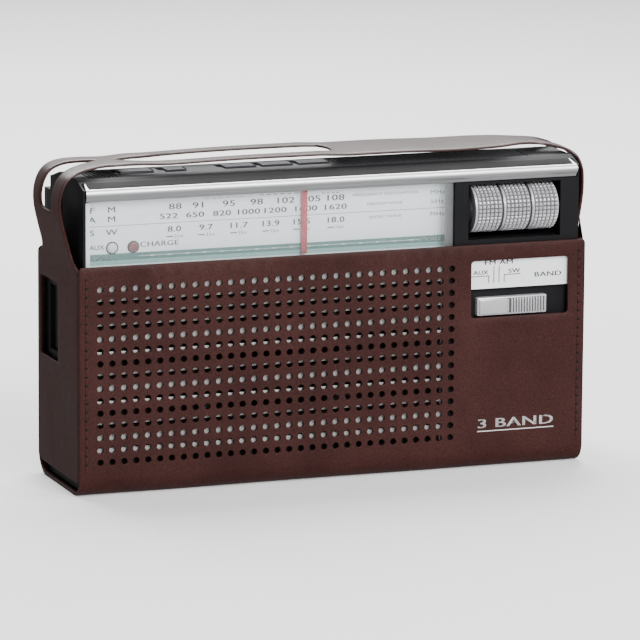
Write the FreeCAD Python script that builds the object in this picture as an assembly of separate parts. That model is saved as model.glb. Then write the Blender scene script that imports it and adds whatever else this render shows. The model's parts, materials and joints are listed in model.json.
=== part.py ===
# Leather-cased three-band portable receiver, in millimetres.
# Origin: centre of the case's underside. +X right, +Y to the back, +Z up; the dial faces -Y.
import FreeCAD, Part
import math
import os

V = FreeCAD.Vector

# ---- driving dimensions -------------------------------------------------------------------
case_w, case_d = 235.0, 60.0        # outside of the leather
hide = 1.5                          # leather thickness
panel_top = 101.0                   # top edge of the front and back leather panels
side_bottom = 6.0                   # lower edge of the leather side panels
fold_front, fold_rear = 8.5, 11.0   # outside radii of the two bottom folds

body_x = 114.8                      # half width of the plastic cabinet
body_front, body_rear = -27.6, 28.0
body_bottom, deck_z = 2.0, 137.2
wall = 2.2
split_y = 24.5                      # where the rear cover meets the cabinet
lip_z = 127.2                       # floor of the aerial rebate along the rear top edge
rebate_y = 19.6
notch_x = (97.5, 107.5)             # finger notch at the aerial's tip
notch_y = 8.0
notch_z = 130.2

dial_x = (-113.7, 56.0)             # clear dial window
dial_z = (98.0, 128.8)
dial_plate_y = -21.6
lamps, lamp_z = (-100.0, -90.4), 107.5    # status and charge lamps
pointer_x = -12.8                   # pointer at rest
pointer_w = 2.5

well_x = (62.4, 106.1)              # opening for the three thumb wheels
well_z = (102.9, 127.5)
wheel_axis = (-20.5, 116.0)         # y, z of the wheel axle
wheel_r, wheel_w, wheel_gap = 10.8, 13.2, 0.2
wheel_x0 = 64.2
axle_r, running = 2.0, 0.05

band_x = (63.4, 109.3)              # window in the leather for the band switch
band_z = (68.3, 93.6)
slider_x, slider_z = (66.5, 99.5), (68.7, 77.2)
slider_travel = 7.35

speaker_x, speaker_z, speaker_r = -27.0, 53.0, 38.5
slat_pitch, slat_h = 7.2, 3.6
grille_x, grille_z = (-111.0, 52.0), (10.0, 97.0)

key_y = -5.0
keys = {"power_key": (-84.5, 15.0), "mode_key": (-66.5, 9.0), "back_key": (-37.0, 14.0),
        "play_key": (-20.0, 14.0), "next_key": (-3.0, 14.0)}     # name: centre x, width
key_depth, key_top, key_gap = 8.0, 138.1, 0.4

aerial_y, aerial_z, aerial_x0 = 24.2, 130.6, -102.0
aerial_r = (2.6, 2.1, 1.6, 1.1)     # outside radii of the telescoping sections
aerial_len = 192.0

battery_x, battery_z = (22.0, 100.0), (13.0, 57.0)
cell_r, cell_len = 9.2, 65.0
door_x, door_z = (20.0, 102.0), (11.0, 59.0)
hinge_line = (27.0, 12.4)            # y and z of the battery door's hinge

window_y, window_z = (1.0, 26.0), (54.0, 89.0)   # window in the left leather side
phone_z, power_z = 80.5, 71.0       # heights of the two round sockets


# ---- helpers ------------------------------------------------------------------------------
def box(x, y, z):
    return Part.makeBox(x[1] - x[0], y[1] - y[0], z[1] - z[0], V(x[0], y[0], z[0]))


def rod(radius, start, end):
    a, b = V(*start), V(*end)
    return Part.makeCylinder(radius, (b - a).Length, a, b - a)


def tube(outer, inner, start, end):
    return rod(outer, start, end).cut(rod(inner, start, end))


def along_x(points, x):
    """Prism along X of a closed outline of (y, z) points; a triple (y, z, 'a') is an arc's middle."""
    return Part.Face(outline([V(x[0], p[0], p[1]) for p in points], points)).extrude(V(x[1] - x[0], 0, 0))


def outline(vectors, marks):
    edges, i, n = [], 0, len(vectors)
    while i < n:
        here, after = vectors[i], vectors[(i + 1) % n]
        if len(marks[(i + 1) % n]) == 3:
            end = vectors[(i + 2) % n]
            edges.append(Part.Arc(here, after, end).toShape())
            i += 2
        else:
            edges.append(Part.LineSegment(here, after).toShape())
            i += 1
    return Part.Wire(edges)


def corner(cy, cz, radius, degrees):
    angle = math.radians(degrees)
    return (cy + radius * math.cos(angle), cz + radius * math.sin(angle))


def rounded_box(x, y, z, radius, direction):
    """Box whose four edges along the given direction are rounded."""
    solid = box(x, y, z)
    edges = [e for e in solid.Edges
             if abs(abs((e.Vertexes[1].Point - e.Vertexes[0].Point).normalize().dot(V(*direction))) - 1) < 1e-6]
    return solid.makeFillet(radius, edges)


def softened(solid, radius, picked):
    return solid.makeFillet(radius, [e for e in solid.Edges if picked(e.CenterOfMass)])


def fuse(solids):
    return solids[0].multiFuse(solids[1:]).removeSplitter()


def save(node, shape):
    for solid in shape.Solids:
        if not solid.isValid():
            print("INVALID", node)
    shape.exportStep("parts/%s.step" % node)
    print("%-22s solids %2d  volume %10.1f" % (node, len(shape.Solids), shape.Volume))


def group(solids):
    return Part.makeCompound(solids)


# ---- leather case -------------------------------------------------------------------------
def case_wrap():
    """Front, bottom and back in one folded piece, with windows for the band switch and battery door."""
    def skin(inset):
        f, r, half = fold_front - inset, fold_rear - inset, case_d / 2
        y0, y1, z0 = -half + inset, half - inset, inset
        cf, cr = (-half + fold_front, fold_front), (half - fold_rear, fold_rear)
        top = panel_top + inset
        return [(y0, top), (y0, cf[1]), corner(*cf, f, 225) + ("a",), (cf[0], z0), (cr[0], z0),
                corner(*cr, r, 315) + ("a",), (y1, cr[1]), (y1, top)]
    outer = along_x(skin(0), (-case_w / 2, case_w / 2))
    inner = along_x(skin(hide), (-case_w / 2 - 1, case_w / 2 + 1))
    wrap = outer.cut(inner)
    wrap = wrap.cut(rounded_box(band_x, (-case_d, 0), band_z, 1.5, (0, 1, 0)))
    wrap = wrap.cut(rounded_box((door_x[0] - 3, door_x[1] + 3), (0, case_d), (door_z[0] - 1, door_z[1] + 3),
                                3.0, (0, 1, 0)))
    return wrap


# the strap's outside line in the XZ plane, from the left panel's foot over the top, with its thickness
strap_line = [(-117.5, 94, 1.5), (-118.6, 104, 1.5), (-120.9, 113, 1.5), (-123.0, 122, 1.4),
              (-123.0, 130, 1.3), (-120.2, 136.9, 1.3), (-114.6, 140.7, 1.3), (-105.0, 142.3, 1.3),
              (-90.0, 142.4, 1.3), (-72.0, 142.0, 1.3), (-50.0, 142.5, 1.3), (-30.0, 142.75, 1.3),
              (5.0, 142.8, 1.3), (35.0, 142.9, 1.3), (60.0, 142.5, 1.3), (80.0, 142.7, 1.3),
              (94.0, 142.8, 1.3), (107.0, 141.7, 1.3), (117.0, 138.4, 1.3), (121.2, 131.4, 1.3),
              (121.5, 122, 1.4), (119.9, 112, 1.5), (118.2, 103, 1.5), (117.5, 94, 1.5)]
strap_plan = [(-126, 19.0), (-113, 18.2), (-102, 13.0), (-95, 11.2), (-87, 13.4), (-72, 15.8), (-12, 16.4),
              (8, 16.8), (28, 17.0), (66, 17.0), (82, 15.8), (94, 11.0), (102, 8.6), (109, 12.0), (117, 17.6),
              (126, 19.0)]


neck_z = 121.9                      # above this height the strap follows its plan outline


def facets(points, count, start, end):
    """Short straight runs along the smooth curve through the given points."""
    spline = Part.BSplineCurve()
    spline.interpolate(Points=points, InitialTangent=start, FinalTangent=end)
    return spline.discretize(count)


def case_strap():
    """Both side panels and the carrying strap between them, cut from one strip."""
    outside, inside = [], []
    last = len(strap_line) - 1
    for i, (x, z, thick) in enumerate(strap_line):
        a, b = strap_line[max(i - 1, 0)], strap_line[min(i + 1, last)]
        run = V(b[0] - a[0], 0, b[1] - a[1]).normalize() if 0 < i < last else V(0, 0, 1 if i == 0 else -1)
        outside.append(V(x, 0, z))
        inside.append(V(x + run.z * thick, 0, z - run.x * thick))
    over = facets(outside, 72, V(0, 0, 1), V(0, 0, -1))
    under = facets(inside[::-1], 72, V(0, 0, 1), V(0, 0, -1))
    feet = [V(p.x, 0, side_bottom) for p in (outside[-1], inside[-1], inside[0], outside[0])]
    face = Part.Face(Part.makePolygon(over + feet[:2] + under + feet[2:] + over[:1]))
    half = case_d / 2 - hide
    face.translate(V(0, -half, 0))
    strip = face.extrude(V(0, 2 * half, 0))
    # seen from the side: full width up to the panel's top, then swept in to the strap
    neck = [(-half, 9.5), (-half + 0.9, 6), (-half + 0.9, 0), (half - 1.9, 0), (half - 1.9, 6), (half, 11.5),
            (half, 99.5), (half - 4.6, 103.4, "a"), (half - 8.5, 110), (19, 122),
            (30, 122), (30, 160), (-30, 160), (-30, 122), (-19, 122), (-half + 8.5, 110),
            (-half + 4.6, 103.4, "a"), (-half, 99.5)]
    strip = strip.common(along_x(neck, (-130, 130)))
    # seen from above: waisted bridge, rails, broad grip and neck
    edge = facets([V(x, w, neck_z) for x, w in strap_plan], 48, V(1, 0, 0), V(1, 0, 0))
    plan = Part.Face(Part.makePolygon(edge + [V(p.x, -p.y, p.z) for p in edge[::-1]] + edge[:1]))
    lower = strip.common(box((-130, 130), (-half - 1, half + 1), (0, neck_z)))
    strip = strip.common(plan.extrude(V(0, 0, 40))).fuse(lower)
    for slot in (slot_between([(-130, 8.0), (-116, 7.6), (-107, 5.2), (-101.5, 0)], 121.0),
                 slot_between([(-91, 0), (-84, 5.8), (-70, 9.0), (-10, 9.2), (2, 6.8), (7, 0)], 130.0),
                 slot_between([(105, 0), (110, 3.6), (118, 7.2), (130, 8.0)], 121.0)):
        strip = strip.cut(slot)
    strip = strip.cut(rounded_box((-130, -100), window_y, window_z, 2.0, (1, 0, 0)))
    return strip.removeSplitter()


def slot_between(half_widths, floor):
    """Vertical cutter whose half width along X follows the given (x, half width) points."""
    ring = [V(x, w, floor) for x, w in half_widths] + [V(x, -w, floor) for x, w in half_widths[::-1] if w > 0]
    if half_widths[-1][1] == 0:
        ring = [V(x, w, floor) for x, w in half_widths]
        ring += [V(x, -w, floor) for x, w in half_widths[-2::-1] if w > 0]
    return Part.Face(Part.makePolygon(ring + ring[:1])).extrude(V(0, 0, 40))


def case_snaps():
    caps = []
    for x in (-100.0, 100.0):
        caps.append(rod(5.0, (x, case_d / 2, 92), (x, case_d / 2 + 1.4, 92)))
    return group(caps)


# ---- cabinet ------------------------------------------------------------------------------
def body_outline(inset):
    """The cabinet's section up to the front of the deck, shrunk by the inset."""
    f, r, i = 6.5, 10.0, inset
    y0, y1, z0 = body_front + i, body_rear - i, body_bottom + i
    cf, cr = (body_front + f, body_bottom + f), (body_rear - r, body_bottom + r)
    return [(y0, cf[1]), corner(*cf, f - i, 225) + ("a",), (cf[0], z0), (cr[0], z0),
            corner(*cr, r - i, 315) + ("a",), (y1, cr[1]), (y1, lip_z - i), (rebate_y - i, lip_z - i),
            (rebate_y - i, 133.4 - i), (6.0, deck_z - i)]


def body_solid():
    brow = [(-17.6, deck_z), (-21.6, 136.0), (body_front, 133.9)]
    return along_x(body_outline(0) + brow, (-body_x, body_x))


def body_hollow():
    brow = [(-16.9, deck_z - wall), (-21.0, 132.0), (-23.0, 126.4), (body_front + wall, 126.4)]
    return along_x(body_outline(wall) + brow, (-body_x + wall, body_x - wall))


def trim_rebate():
    """Space ahead of the cabinet's top edge that the bright bar fills."""
    return along_x([(-32, 128.6), (-25.3, 128.6), (-25.3, 133.2), (-21.7, 134.85), (-21.7, 136.4), (-24, 140),
                    (-32, 140)], (-114.1, 114.1))


def cabinet():
    """Front moulding: everything ahead of the rear cover."""
    shell = body_solid().cut(body_hollow())
    shell = shell.common(box((-120, 120), (-40, split_y), (0, 150)))
    ring = box((dial_x[0] + 1.2, dial_x[1] + 2), (-25.4, -19.6), (dial_z[0] - 1.6, 131.0))
    ring = ring.cut(box((dial_x[0] + 2.4, dial_x[1] - 1.2), (-26, -19), (dial_z[0] + 1.0, 129.8)))
    roof = box((dial_x[0] + 1.2, dial_x[1] + 2), (-22.9, -19.6), (129.8, 132.0))
    well = box((well_x[0] - wall, well_x[1] + wall), (body_front + 1, -7.6), (well_z[0] - wall, well_z[1] + wall))
    shell = shell.fuse(ring).fuse(well)
    shell = shell.cut(box(well_x, (-40, -9.0), well_z))
    shell = shell.cut(trim_rebate())
    shell = shell.cut(box(dial_x, (-30, -24.3), dial_z))
    shell = shell.cut(box((dial_x[0] + 2.4, dial_x[1] - 1.2), (-26, -19), (dial_z[0] + 1.0, 129.8)))
    # slots behind the speaker grille, the band switch recess and its slot
    recess = box(grille_x, (-30, -26.4), grille_z)
    shell = shell.cut(recess)
    slats = grille_slots()
    shell = shell.cut(group(slats))
    shell = shell.cut(box((62.0, 111.0), (-30, -26.2), (66.0, 80.5)))
    shell = shell.cut(box((slider_x[0] + 10, slider_x[1] + slider_travel - 6), (-30, -20), (71.0, 75.0)))
    # deck: grille pocket, mesh pocket and one opening for each key
    shell = shell.cut(box((-108, -93.6), (-15.5, 4.0), (deck_z - 1.2, 150)))
    shell = shell.cut(box((8.5, 95.5), (-15.5, 4.0), (deck_z - 1.2, 150)))
    for x, width in keys.values():
        shell = shell.cut(box((x - width / 2 - key_gap, x + width / 2 + key_gap),
                              (key_y - key_depth / 2 - key_gap, key_y + key_depth / 2 + key_gap), (130, 150)))
        shell = shell.cut(box((x - width / 2 - 2, x + width / 2 + 2), (key_y + 0.5, key_y + 7.0), (deck_z - 0.7, 150)))
    # finger notch at the aerial's tip, lamp pocket on the left end and the socket opening
    pocket = box((notch_x[0] - 1.2, notch_x[1] + 1.2), (notch_y - 1.2, rebate_y), (notch_z - 1.2, 150))
    shell = shell.fuse(pocket.common(body_solid()))
    shell = shell.cut(box(notch_x, (notch_y, 30), (notch_z, 150)))
    shell = shell.cut(box((-120, -body_x + 1.4), (2.0, 9.0), (118.0, 132.0)))
    shell = shell.cut(box((-120, -110), (3.0, 20.0), (57.0, 86.0)))
    for x in (-108.0, 108.0):
        for z in (14.0, 118.0):
            post = rod(3.4, (x, split_y - 12, z), (x, split_y, z))
            shell = shell.fuse(post)
            shell = shell.cut(rod(1.25, (x, split_y - 9, z), (x, split_y, z)))
            shell = shell.fuse(box((x - 1, x + 1) if abs(x) < 100 else ((x, body_x - 1) if x > 0 else (-body_x + 1, x)),
                                   (split_y - 12, split_y - 6), (z - 1.2, z + 1.2)).cut(rod(1.25, (x, 0, z), (x, 40, z))))
    return shell.removeSplitter()


def grille_rows():
    """Slat heights from the top: close together at the edges, evenly spaced between."""
    top, step = 91.0, slat_pitch
    return [top, top - 3.9, top - 9.2, top - 14.6] + [top - 14.6 - step * (k + 1) for k in range(7)] + [19.8]


def grille_slots():
    rows = grille_rows()
    return [box((speaker_x - 36, speaker_x + 36), (-30, -20), (low + 2.1, low + 4.9)) for low in rows[4:10]]


def rear_cover():
    """Back moulding with the battery door's opening and the aerial rebate's floor."""
    shell = body_solid().cut(body_hollow()).common(box((-120, 120), (split_y, 40), (0, 150)))
    plate = box((-body_x, body_x), (body_rear - wall, body_rear), (body_bottom + 12, lip_z))
    shell = shell.fuse(plate)
    shell = shell.cut(box((door_x[0], door_x[1]), (20, 40), (door_z[0] + 3, door_z[1])))
    shell = shell.cut(box((door_x[0], door_x[1]), (body_rear - 2.0, 40), (door_z[0], door_z[1])))
    shell = shell.cut(hinge_rod(0.65, 1.8))
    for k in range(9):
        shell = shell.cut(box((-80, -10), (20, 40), (66.0 + 4 * k, 68.0 + 4 * k)))
    for x in (-108.0, 108.0):
        for z in (14.0, 118.0):
            shell = shell.cut(rod(1.7, (x, 20, z), (x, 40, z)))
            shell = shell.cut(rod(3.2, (x, body_rear - 1.2, z), (x, 40, z)))
    return shell.removeSplitter()


def cover_screws():
    screws = []
    for x in (-108.0, 108.0):
        for z in (14.0, 118.0):
            head = rod(3.0, (x, body_rear - 1.2, z), (x, body_rear, z))
            head = head.cut(box((x - 2, x + 2), (body_rear - 0.7, 40), (z - 0.4, z + 0.4)))
            head = head.cut(box((x - 0.4, x + 0.4), (body_rear - 0.7, 40), (z - 2, z + 2)))
            screws.append(head.fuse(rod(1.2, (x, split_y - 7, z), (x, body_rear - 1.2, z))))
    return group(screws)


def trim_bar():
    """Bright bar along the front of the top edge, with mitred ends."""
    profile = [(-25.35, 128.95), (-27.3, 128.95), (-27.9, 130.3), (-28.9, 131.8, "a"), (-28.1, 134.1),
               (-21.8, 136.0), (-21.8, 135.0), (-25.35, 133.4)]
    bar = along_x(profile, (-113.9, 113.9))
    for side in (-1, 1):
        tip = Part.Face(Part.makePolygon([V(side * 113.9, -30, 120), V(side * 113.9, -20, 120),
                                          V(side * 112.2, -20, 120), V(side * 113.9, -30, 120)]))
        bar = bar.cut(tip.extrude(V(0, 0, 20)))
    return bar


def dial_window():
    pane = box((dial_x[0] + 0.15, dial_x[1] - 0.15), (-27.4, -24.4), (dial_z[0] + 0.2, dial_z[1] - 0.1))
    return softened(pane, 0.8, lambda c: c.x > dial_x[1] - 1 and abs(c.y + 27.4) < 0.01)


def dial_plate():
    y = dial_plate_y
    plate = box((dial_x[0] + 2.6, dial_x[1] - 1.4), (y, y + 0.8), (dial_z[0] + 1.2, 127.8))
    for x in lamps:
        plate = plate.cut(rod(2.35, (x, -30, lamp_z), (x, 0, lamp_z)))
    for x in (-106, 50):
        plate = plate.fuse(box((x - 2, x + 2), (y + 0.8, -19.6), (112, 118)))
    return plate


def indicator(x):
    return rod(2.25, (x, -22.2, lamp_z), (x, -18.0, lamp_z))


def speaker_grille():
    """Bright slats on a thin frame behind the perforated leather."""
    bars = []
    for z in grille_rows():
        half = slat_h / 2
        bars.append(along_x([(-26.5, z - half), (-26.9, z - half), (-28.2, z, "a"), (-26.9, z + half),
                             (-26.5, z + half)], (grille_x[0] + 0.4, grille_x[1] - 0.4)))
    for x in (grille_x[0] + 0.2, grille_x[1] - 2.2):
        bars.append(box((x, x + 2), (-27.1, -26.5), (grille_z[0] + 0.3, grille_z[1] - 0.3)))
    return fuse(bars)


def band_label():
    return box((60.4, 111.6), (-28.2, body_front), (80.9, 96.0))


def speaker_frame():
    x, z, r = speaker_x, speaker_z, speaker_r
    rim = tube(r, r - 6, (x, -25.3, z), (x, -23.3, z))
    basket = Part.makeCone(r - 3, 15, 17, V(x, -23.3, z), V(0, 1, 0))
    basket = basket.cut(Part.makeCone(r - 5, 13, 17, V(x, -23.3, z), V(0, 1, 0)))
    for k in range(4):
        port = box((x - 5, x + 5), (-20, -9), (z + 12, z + 60))
        port.rotate(V(x, 0, z), V(0, 1, 0), 45 + 90 * k)
        basket = basket.cut(port)
    return rim.fuse(basket).removeSplitter()


def speaker_cone():
    x, z, r = speaker_x, speaker_z, speaker_r
    cone = Part.makeCone(r - 6.4, 9, 13, V(x, -22.9, z), V(0, 1, 0))
    cone = cone.cut(Part.makeCone(r - 7.2, 8, 13, V(x, -23.0, z), V(0, 1, 0)))
    cap = Part.makeSphere(11, V(x, -2.5, z)).common(rod(9.4, (x, -20, z), (x, -9.9, z)))
    return cone.fuse(cap).removeSplitter()


def speaker_magnet():
    x, z = speaker_x, speaker_z
    return rod(16.0, (x, -6.3, z), (x, 3.5, z))


# ---- wheels -------------------------------------------------------------------------------
def wheel_span(index):
    low = wheel_x0 + index * (wheel_w + wheel_gap)
    return low, low + wheel_w


def thumb_wheel(index):
    """Hollow knurled drum turning on the axle: its web is at the left and it is open to the right."""
    y, z = wheel_axis
    x0, x1 = wheel_span(index)
    drum = rod(wheel_r - 0.55, (x0, y, z), (x1, y, z))
    drum = drum.cut(rod(wheel_r - 2.4, (x0 + 3.0, y, z), (x1 + 1.0, y, z)))
    for k in range(6):
        x = x0 + 2.1 + 1.86 * k
        drum = drum.fuse(tube(wheel_r, wheel_r - 1.2, (x - 0.55, y, z), (x + 0.55, y, z)))
    drum = drum.fuse(tube(wheel_r - 0.2, wheel_r - 1.2, (x0, y, z), (x0 + 0.7, y, z)))
    return drum.cut(rod(axle_r + running, (x0 - 1, y, z), (x1 + 1, y, z))).removeSplitter()


def wheel_axle():
    y, z = wheel_axis
    return rod(axle_r, (well_x[0], y, z), (well_x[1], y, z))


def rotary_control(index):
    """Control body inside its wheel, keyed to the fixed axle."""
    y, z = wheel_axis
    x0, _ = wheel_span(index)
    return tube(6.4, axle_r, (x0 + 4.0, y, z), (x0 + 10.0, y, z))


# ---- tuning drive -------------------------------------------------------------------------
pulleys = [(-104.0, 126.0, 3.0), (47.0, 126.0, 3.0), (28.0, 104.0, 12.6)]   # x, z, groove radius
cord_y, cord_d = -17.6, 0.6


def belt(offset):
    """Closed line round the three pulleys at the given distance outside their grooves."""
    edges, touches = [], []
    ring = [pulleys[1], pulleys[0], pulleys[2]]
    for i, (x, z, r) in enumerate(ring):
        x2, z2, r2 = ring[(i + 1) % 3]
        dist = math.hypot(x2 - x, z2 - z)
        base = math.atan2(z2 - z, x2 - x)
        normal = base - math.acos((r - r2) / dist)
        touches.append(((x, z, r + offset, normal), (x2, z2, r2 + offset, normal)))
    for i, (start, end) in enumerate(touches):
        edges.append(Part.LineSegment(rim_point(start), rim_point(end)).toShape())
        following = touches[(i + 1) % 3][0]
        turn = (following[3] - end[3]) % (2 * math.pi)
        middle = (end[0], end[1], end[2], end[3] + turn / 2)
        edges.append(Part.Arc(rim_point(end), rim_point(middle), rim_point(following)).toShape())
    return Part.Wire(edges)


def rim_point(item):
    x, z, r, angle = item
    return V(x + r * math.cos(angle), cord_y - cord_d / 2, z + r * math.sin(angle))


def dial_cord():
    outer, inner = Part.Face(belt(0.3 + cord_d)), Part.Face(belt(0.3))
    return outer.cut(inner).extrude(V(0, cord_d, 0))


def idler(item):
    x, z, r = item
    wheel = rod(r + 1.2, (x, cord_y - 0.9, z), (x, cord_y + 0.9, z))
    wheel = wheel.cut(tube(r + 3, r, (x, cord_y - 0.5, z), (x, cord_y + 0.5, z)))
    return wheel.cut(rod(1.0 + running, (x, cord_y - 2, z), (x, cord_y + 2, z)))


def idler_bracket():
    """Strip behind the dial that carries both pulley pins."""
    (x0, z0, _), (x1, z1, _) = pulleys[:2]
    strip = box((x0 - 4, x1 + 4), (-15.4, -14.2), (z0 - 3, z0 + 3))
    for x, z in ((x0, z0), (x1, z1)):
        strip = strip.fuse(rod(1.0, (x, cord_y - 1.2, z), (x, -15.4, z)))
        strip = strip.fuse(rod(1.8, (x, cord_y + 1.2, z), (x, -15.4, z)))
    return strip.removeSplitter()


def cord_drum():
    x, z, r = pulleys[2]
    drum = rod(r + 1.6, (x, cord_y - 1.4, z), (x, cord_y + 1.4, z))
    drum = drum.cut(tube(r + 3, r, (x, cord_y - 0.6, z), (x, cord_y + 0.6, z)))
    for k in range(4):
        hole = rod(2.4, (x + 7.6, cord_y - 3, z), (x + 7.6, cord_y + 3, z))
        hole.rotate(V(x, 0, z), V(0, 1, 0), 45 + 90 * k)
        drum = drum.cut(hole)
    return drum.fuse(rod(3.0, (x, cord_y + 1.4, z), (x, -11.2, z))).removeSplitter()


def tuning_capacitor():
    x, z, _ = pulleys[2]
    case = box((x - 10, x + 10), (-13.4, -0.5), (z - 10, z + 7.6))
    return case.cut(rod(3.0 + running, (x, -14, z), (x, -11.0, z)))


def pointer():
    half = pointer_w / 2
    bar = box((pointer_x - half, pointer_x + half), (-23.6, -22.5), (100.6, 128.4))
    arm = box((pointer_x - half, pointer_x + half), (-23.6, -16.6), (128.4, 129.3))
    return bar.fuse(arm).fuse(box((pointer_x - 3, pointer_x + 3), (-19.0, -16.6), (127.4, 128.5))).removeSplitter()


# ---- band switch, keys and boards ---------------------------------------------------------
def band_slider():
    """Ribbed sliding cap with a smooth shoe at its left end and a stem into the switch."""
    x0, x1 = slider_x
    z0, z1 = slider_z
    cap = box((x0, x1), (-29.9, -26.6), (z0, z1))
    cap = cap.cut(along_x([(-30.1, z1 - 1.4), (-30.1, z1 + 1), (-28.6, z1 + 1)], (x0 - 1, x1 + 1)))
    cap = cap.cut(box((80.8, x1 + 1), (-31, -29.2), (z0 - 1, z1 + 1)))
    for k in range(13):
        x = 82.2 + 1.3 * k
        cap = cap.fuse(box((x, x + 0.6), (-29.9, -29.0), (z0 + 0.6, z1 - 1.6)))
    cap = cap.cut(box((71.8, 72.4), (-31, -29.5), (z0 - 1, z1 + 1)))
    stem = box((80.0, 86.0), (-26.7, -19.4), (71.4, 74.6))
    return cap.fuse(stem).removeSplitter()


def band_switch():
    case = box((68.0, 104.0), (-24.0, -15.6), (67.5, 78.5))
    return case.cut(box((78.4, 95.2), (-25, -17.0), (70.6, 75.4)))


def key_cap(name):
    x, width = keys[name]
    lower, upper = 133.4, key_top
    cap = box((x - width / 2, x + width / 2), (key_y - key_depth / 2, key_y + key_depth / 2), (lower, upper))
    cap = softened(cap, 0.6, lambda c: c.z > upper - 0.01)
    return cap.fuse(box((x - width / 2 - 1, x + width / 2 + 1),
                        (key_y - key_depth / 2 - 1, key_y + key_depth / 2 + 1), (lower, lower + 1.0))).removeSplitter()


def key_switches():
    return group([box((x - 3, x + 3), (key_y - 3, key_y + 3), (128.6, 131.6)) for x, _ in keys.values()])


def small_boards():
    """Boards of the lamps, the band switch, the keys and the sockets."""
    return group([box((-106, -84), (-18.0, -16.6), (102, 113)), box((64, 108), (-15.6, -14.2), (62, 84)),
                  box((-98, 8), (key_y - 6.5, key_y + 5), (127.0, 128.6)), box((-98.0, -96.6), (4, 20), (56, 87))])


def main_board():
    return box((16, 111), (-0.5, 1.1), (8, 100.4))


def board_parts():
    """Screened coils, filter cans and the amplifier chip on the main board."""
    parts = [box((x - 4, x + 4), (-12.5, -0.5), (54, 62)) for x in (26, 38, 50, 62)]
    parts += [rod(4.0, (x, -13.5, 40), (x, -0.5, 40)) for x in (28, 42, 56)]
    parts += [box((70, 92), (-4.5, -0.5), (38, 46)), box((98, 106), (-6.5, -0.5), (30, 52))]
    parts += [box((x, x + 6), (-2.5, -0.5), (20, 23)) for x in (24, 34, 44, 54, 64, 74, 84, 94)]
    return group(parts)


def ferrite_rod():
    return rod(5.0, (-88, 9.5, 114.6), (52, 9.5, 114.6))


def aerial_coils():
    """Medium-wave and short-wave windings on their sleeves."""
    return group([tube(6.2, 5.0, (x0, 9.5, 114.6), (x1, 9.5, 114.6)) for x0, x1 in ((-70, -30), (8, 26))])


def rod_holders():
    clips = []
    for x in (-84.0, 47.0):
        clip = box((x, x + 4), (3.2, split_y - 1), (107.4, 121.8))
        clips.append(clip.cut(rod(5.0, (x - 1, 9.5, 114.6), (x + 5, 9.5, 114.6))))
    return group(clips)


# ---- power --------------------------------------------------------------------------------
def battery_box():
    (x0, x1), (z0, z1) = battery_x, battery_z
    tub = box((x0 - 1.6, x1 + 1.6), (2.4, 25.4), (z0 + 1.4, z1 + 1.4))
    return tub.cut(box((x0, x1), (4.0, 30), (z0 + 3, z1)))


def cells():
    return group([rod(cell_r, (battery_x[0] + 6.5, 14.2, z), (battery_x[0] + 6.5 + cell_len, 14.2, z))
                  for z in (26.2, 46.2)])


def battery_contacts():
    parts = []
    for z in (26.2, 46.2):
        parts.append(box((battery_x[0], battery_x[0] + 0.5), (8, 20), (z - 6, z + 6)))
        parts.append(tube(3.6, 2.6, (battery_x[0] + 0.5, 14.2, z), (battery_x[0] + 6.4, 14.2, z)))
        parts.append(box((battery_x[1] - 0.5, battery_x[1]), (8, 20), (z - 6, z + 6)))
        parts.append(rod(3.0, (battery_x[0] + 6.6 + cell_len, 14.2, z), (battery_x[1] - 0.5, 14.2, z)))
    return group(parts)


def hinge_rod(radius, reach):
    """Round rod on the battery door's hinge line, running past the leaf's ends by reach."""
    y, z = hinge_line
    return rod(radius, (door_x[0] + 0.5 - reach, y, z), (door_x[1] - 0.5 + reach, y, z))


def battery_door():
    """Hinged leaf with a round barrel and pins along its lower edge and finger ribs near the top."""
    (x0, x1), (_, z1) = door_x, door_z
    leaf = box((x0 + 0.5, x1 - 0.5), (body_rear - 1.8, body_rear + 0.2), (hinge_line[1], z1 - 0.5))
    leaf = leaf.fuse(hinge_rod(0.8, 0)).fuse(hinge_rod(0.6, 1.6))
    for k in range(5):
        z = z1 - 5.0 - 1.6 * k
        leaf = leaf.cut(box((58, 76), (body_rear - 0.5, 40), (z, z + 0.8)))
    return leaf


# ---- sockets ------------------------------------------------------------------------------
def socket_panel():
    panel = box((-113.2, -111.4), (3.4, 19.6), (57.4, 85.6))
    flange = box((-111.4, -110.2), (1.6, 21.4), (55.6, 87.4))
    panel = panel.fuse(flange)
    panel = panel.cut(rod(2.6, (-120, 11, phone_z), (-100, 11, phone_z)))
    panel = panel.cut(rod(3.3, (-120, 11, power_z), (-100, 11, power_z)))
    return panel.cut(box((-120, -100), (9.2, 12.8), (58.5, 66.5))).removeSplitter()


def phone_socket():
    bore = rod(1.75, (-120, 11, phone_z), (-99, 11, phone_z))
    nose = rod(2.5, (-112.6, 11, phone_z), (-110.2, 11, phone_z))
    return nose.fuse(box((-110.2, -98.0), (7.5, 14.5), (phone_z - 3.5, phone_z + 3.5))).cut(bore).removeSplitter()


def power_socket():
    case = box((-110.2, -98.0), (6.0, 16.0), (power_z - 4.5, power_z + 4.5))
    return case.cut(rod(2.8, (-111, 11, power_z), (-100, 11, power_z))).fuse(
        rod(0.65, (-109.8, 11, power_z), (-99.0, 11, power_z)))


def charge_socket():
    return box((-112.8, -101.0), (9.4, 12.6), (58.7, 66.3)).cut(box((-113, -103), (10.0, 12.0), (59.4, 65.6)))


# ---- deck ---------------------------------------------------------------------------------
def deck_grille():
    plate = box((-107.8, -93.8), (-15.3, 3.8), (deck_z - 1.2, deck_z - 0.7))
    bars = [box((-107.2 + 1.75 * k, -106.3 + 1.75 * k), (-15.3, 3.8), (deck_z - 0.7, deck_z + 0.1)) for k in range(8)]
    return fuse([plate] + bars)


def mesh_panel():
    return box((8.7, 95.3), (-15.3, 3.8), (deck_z - 1.2, deck_z - 0.1))


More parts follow.
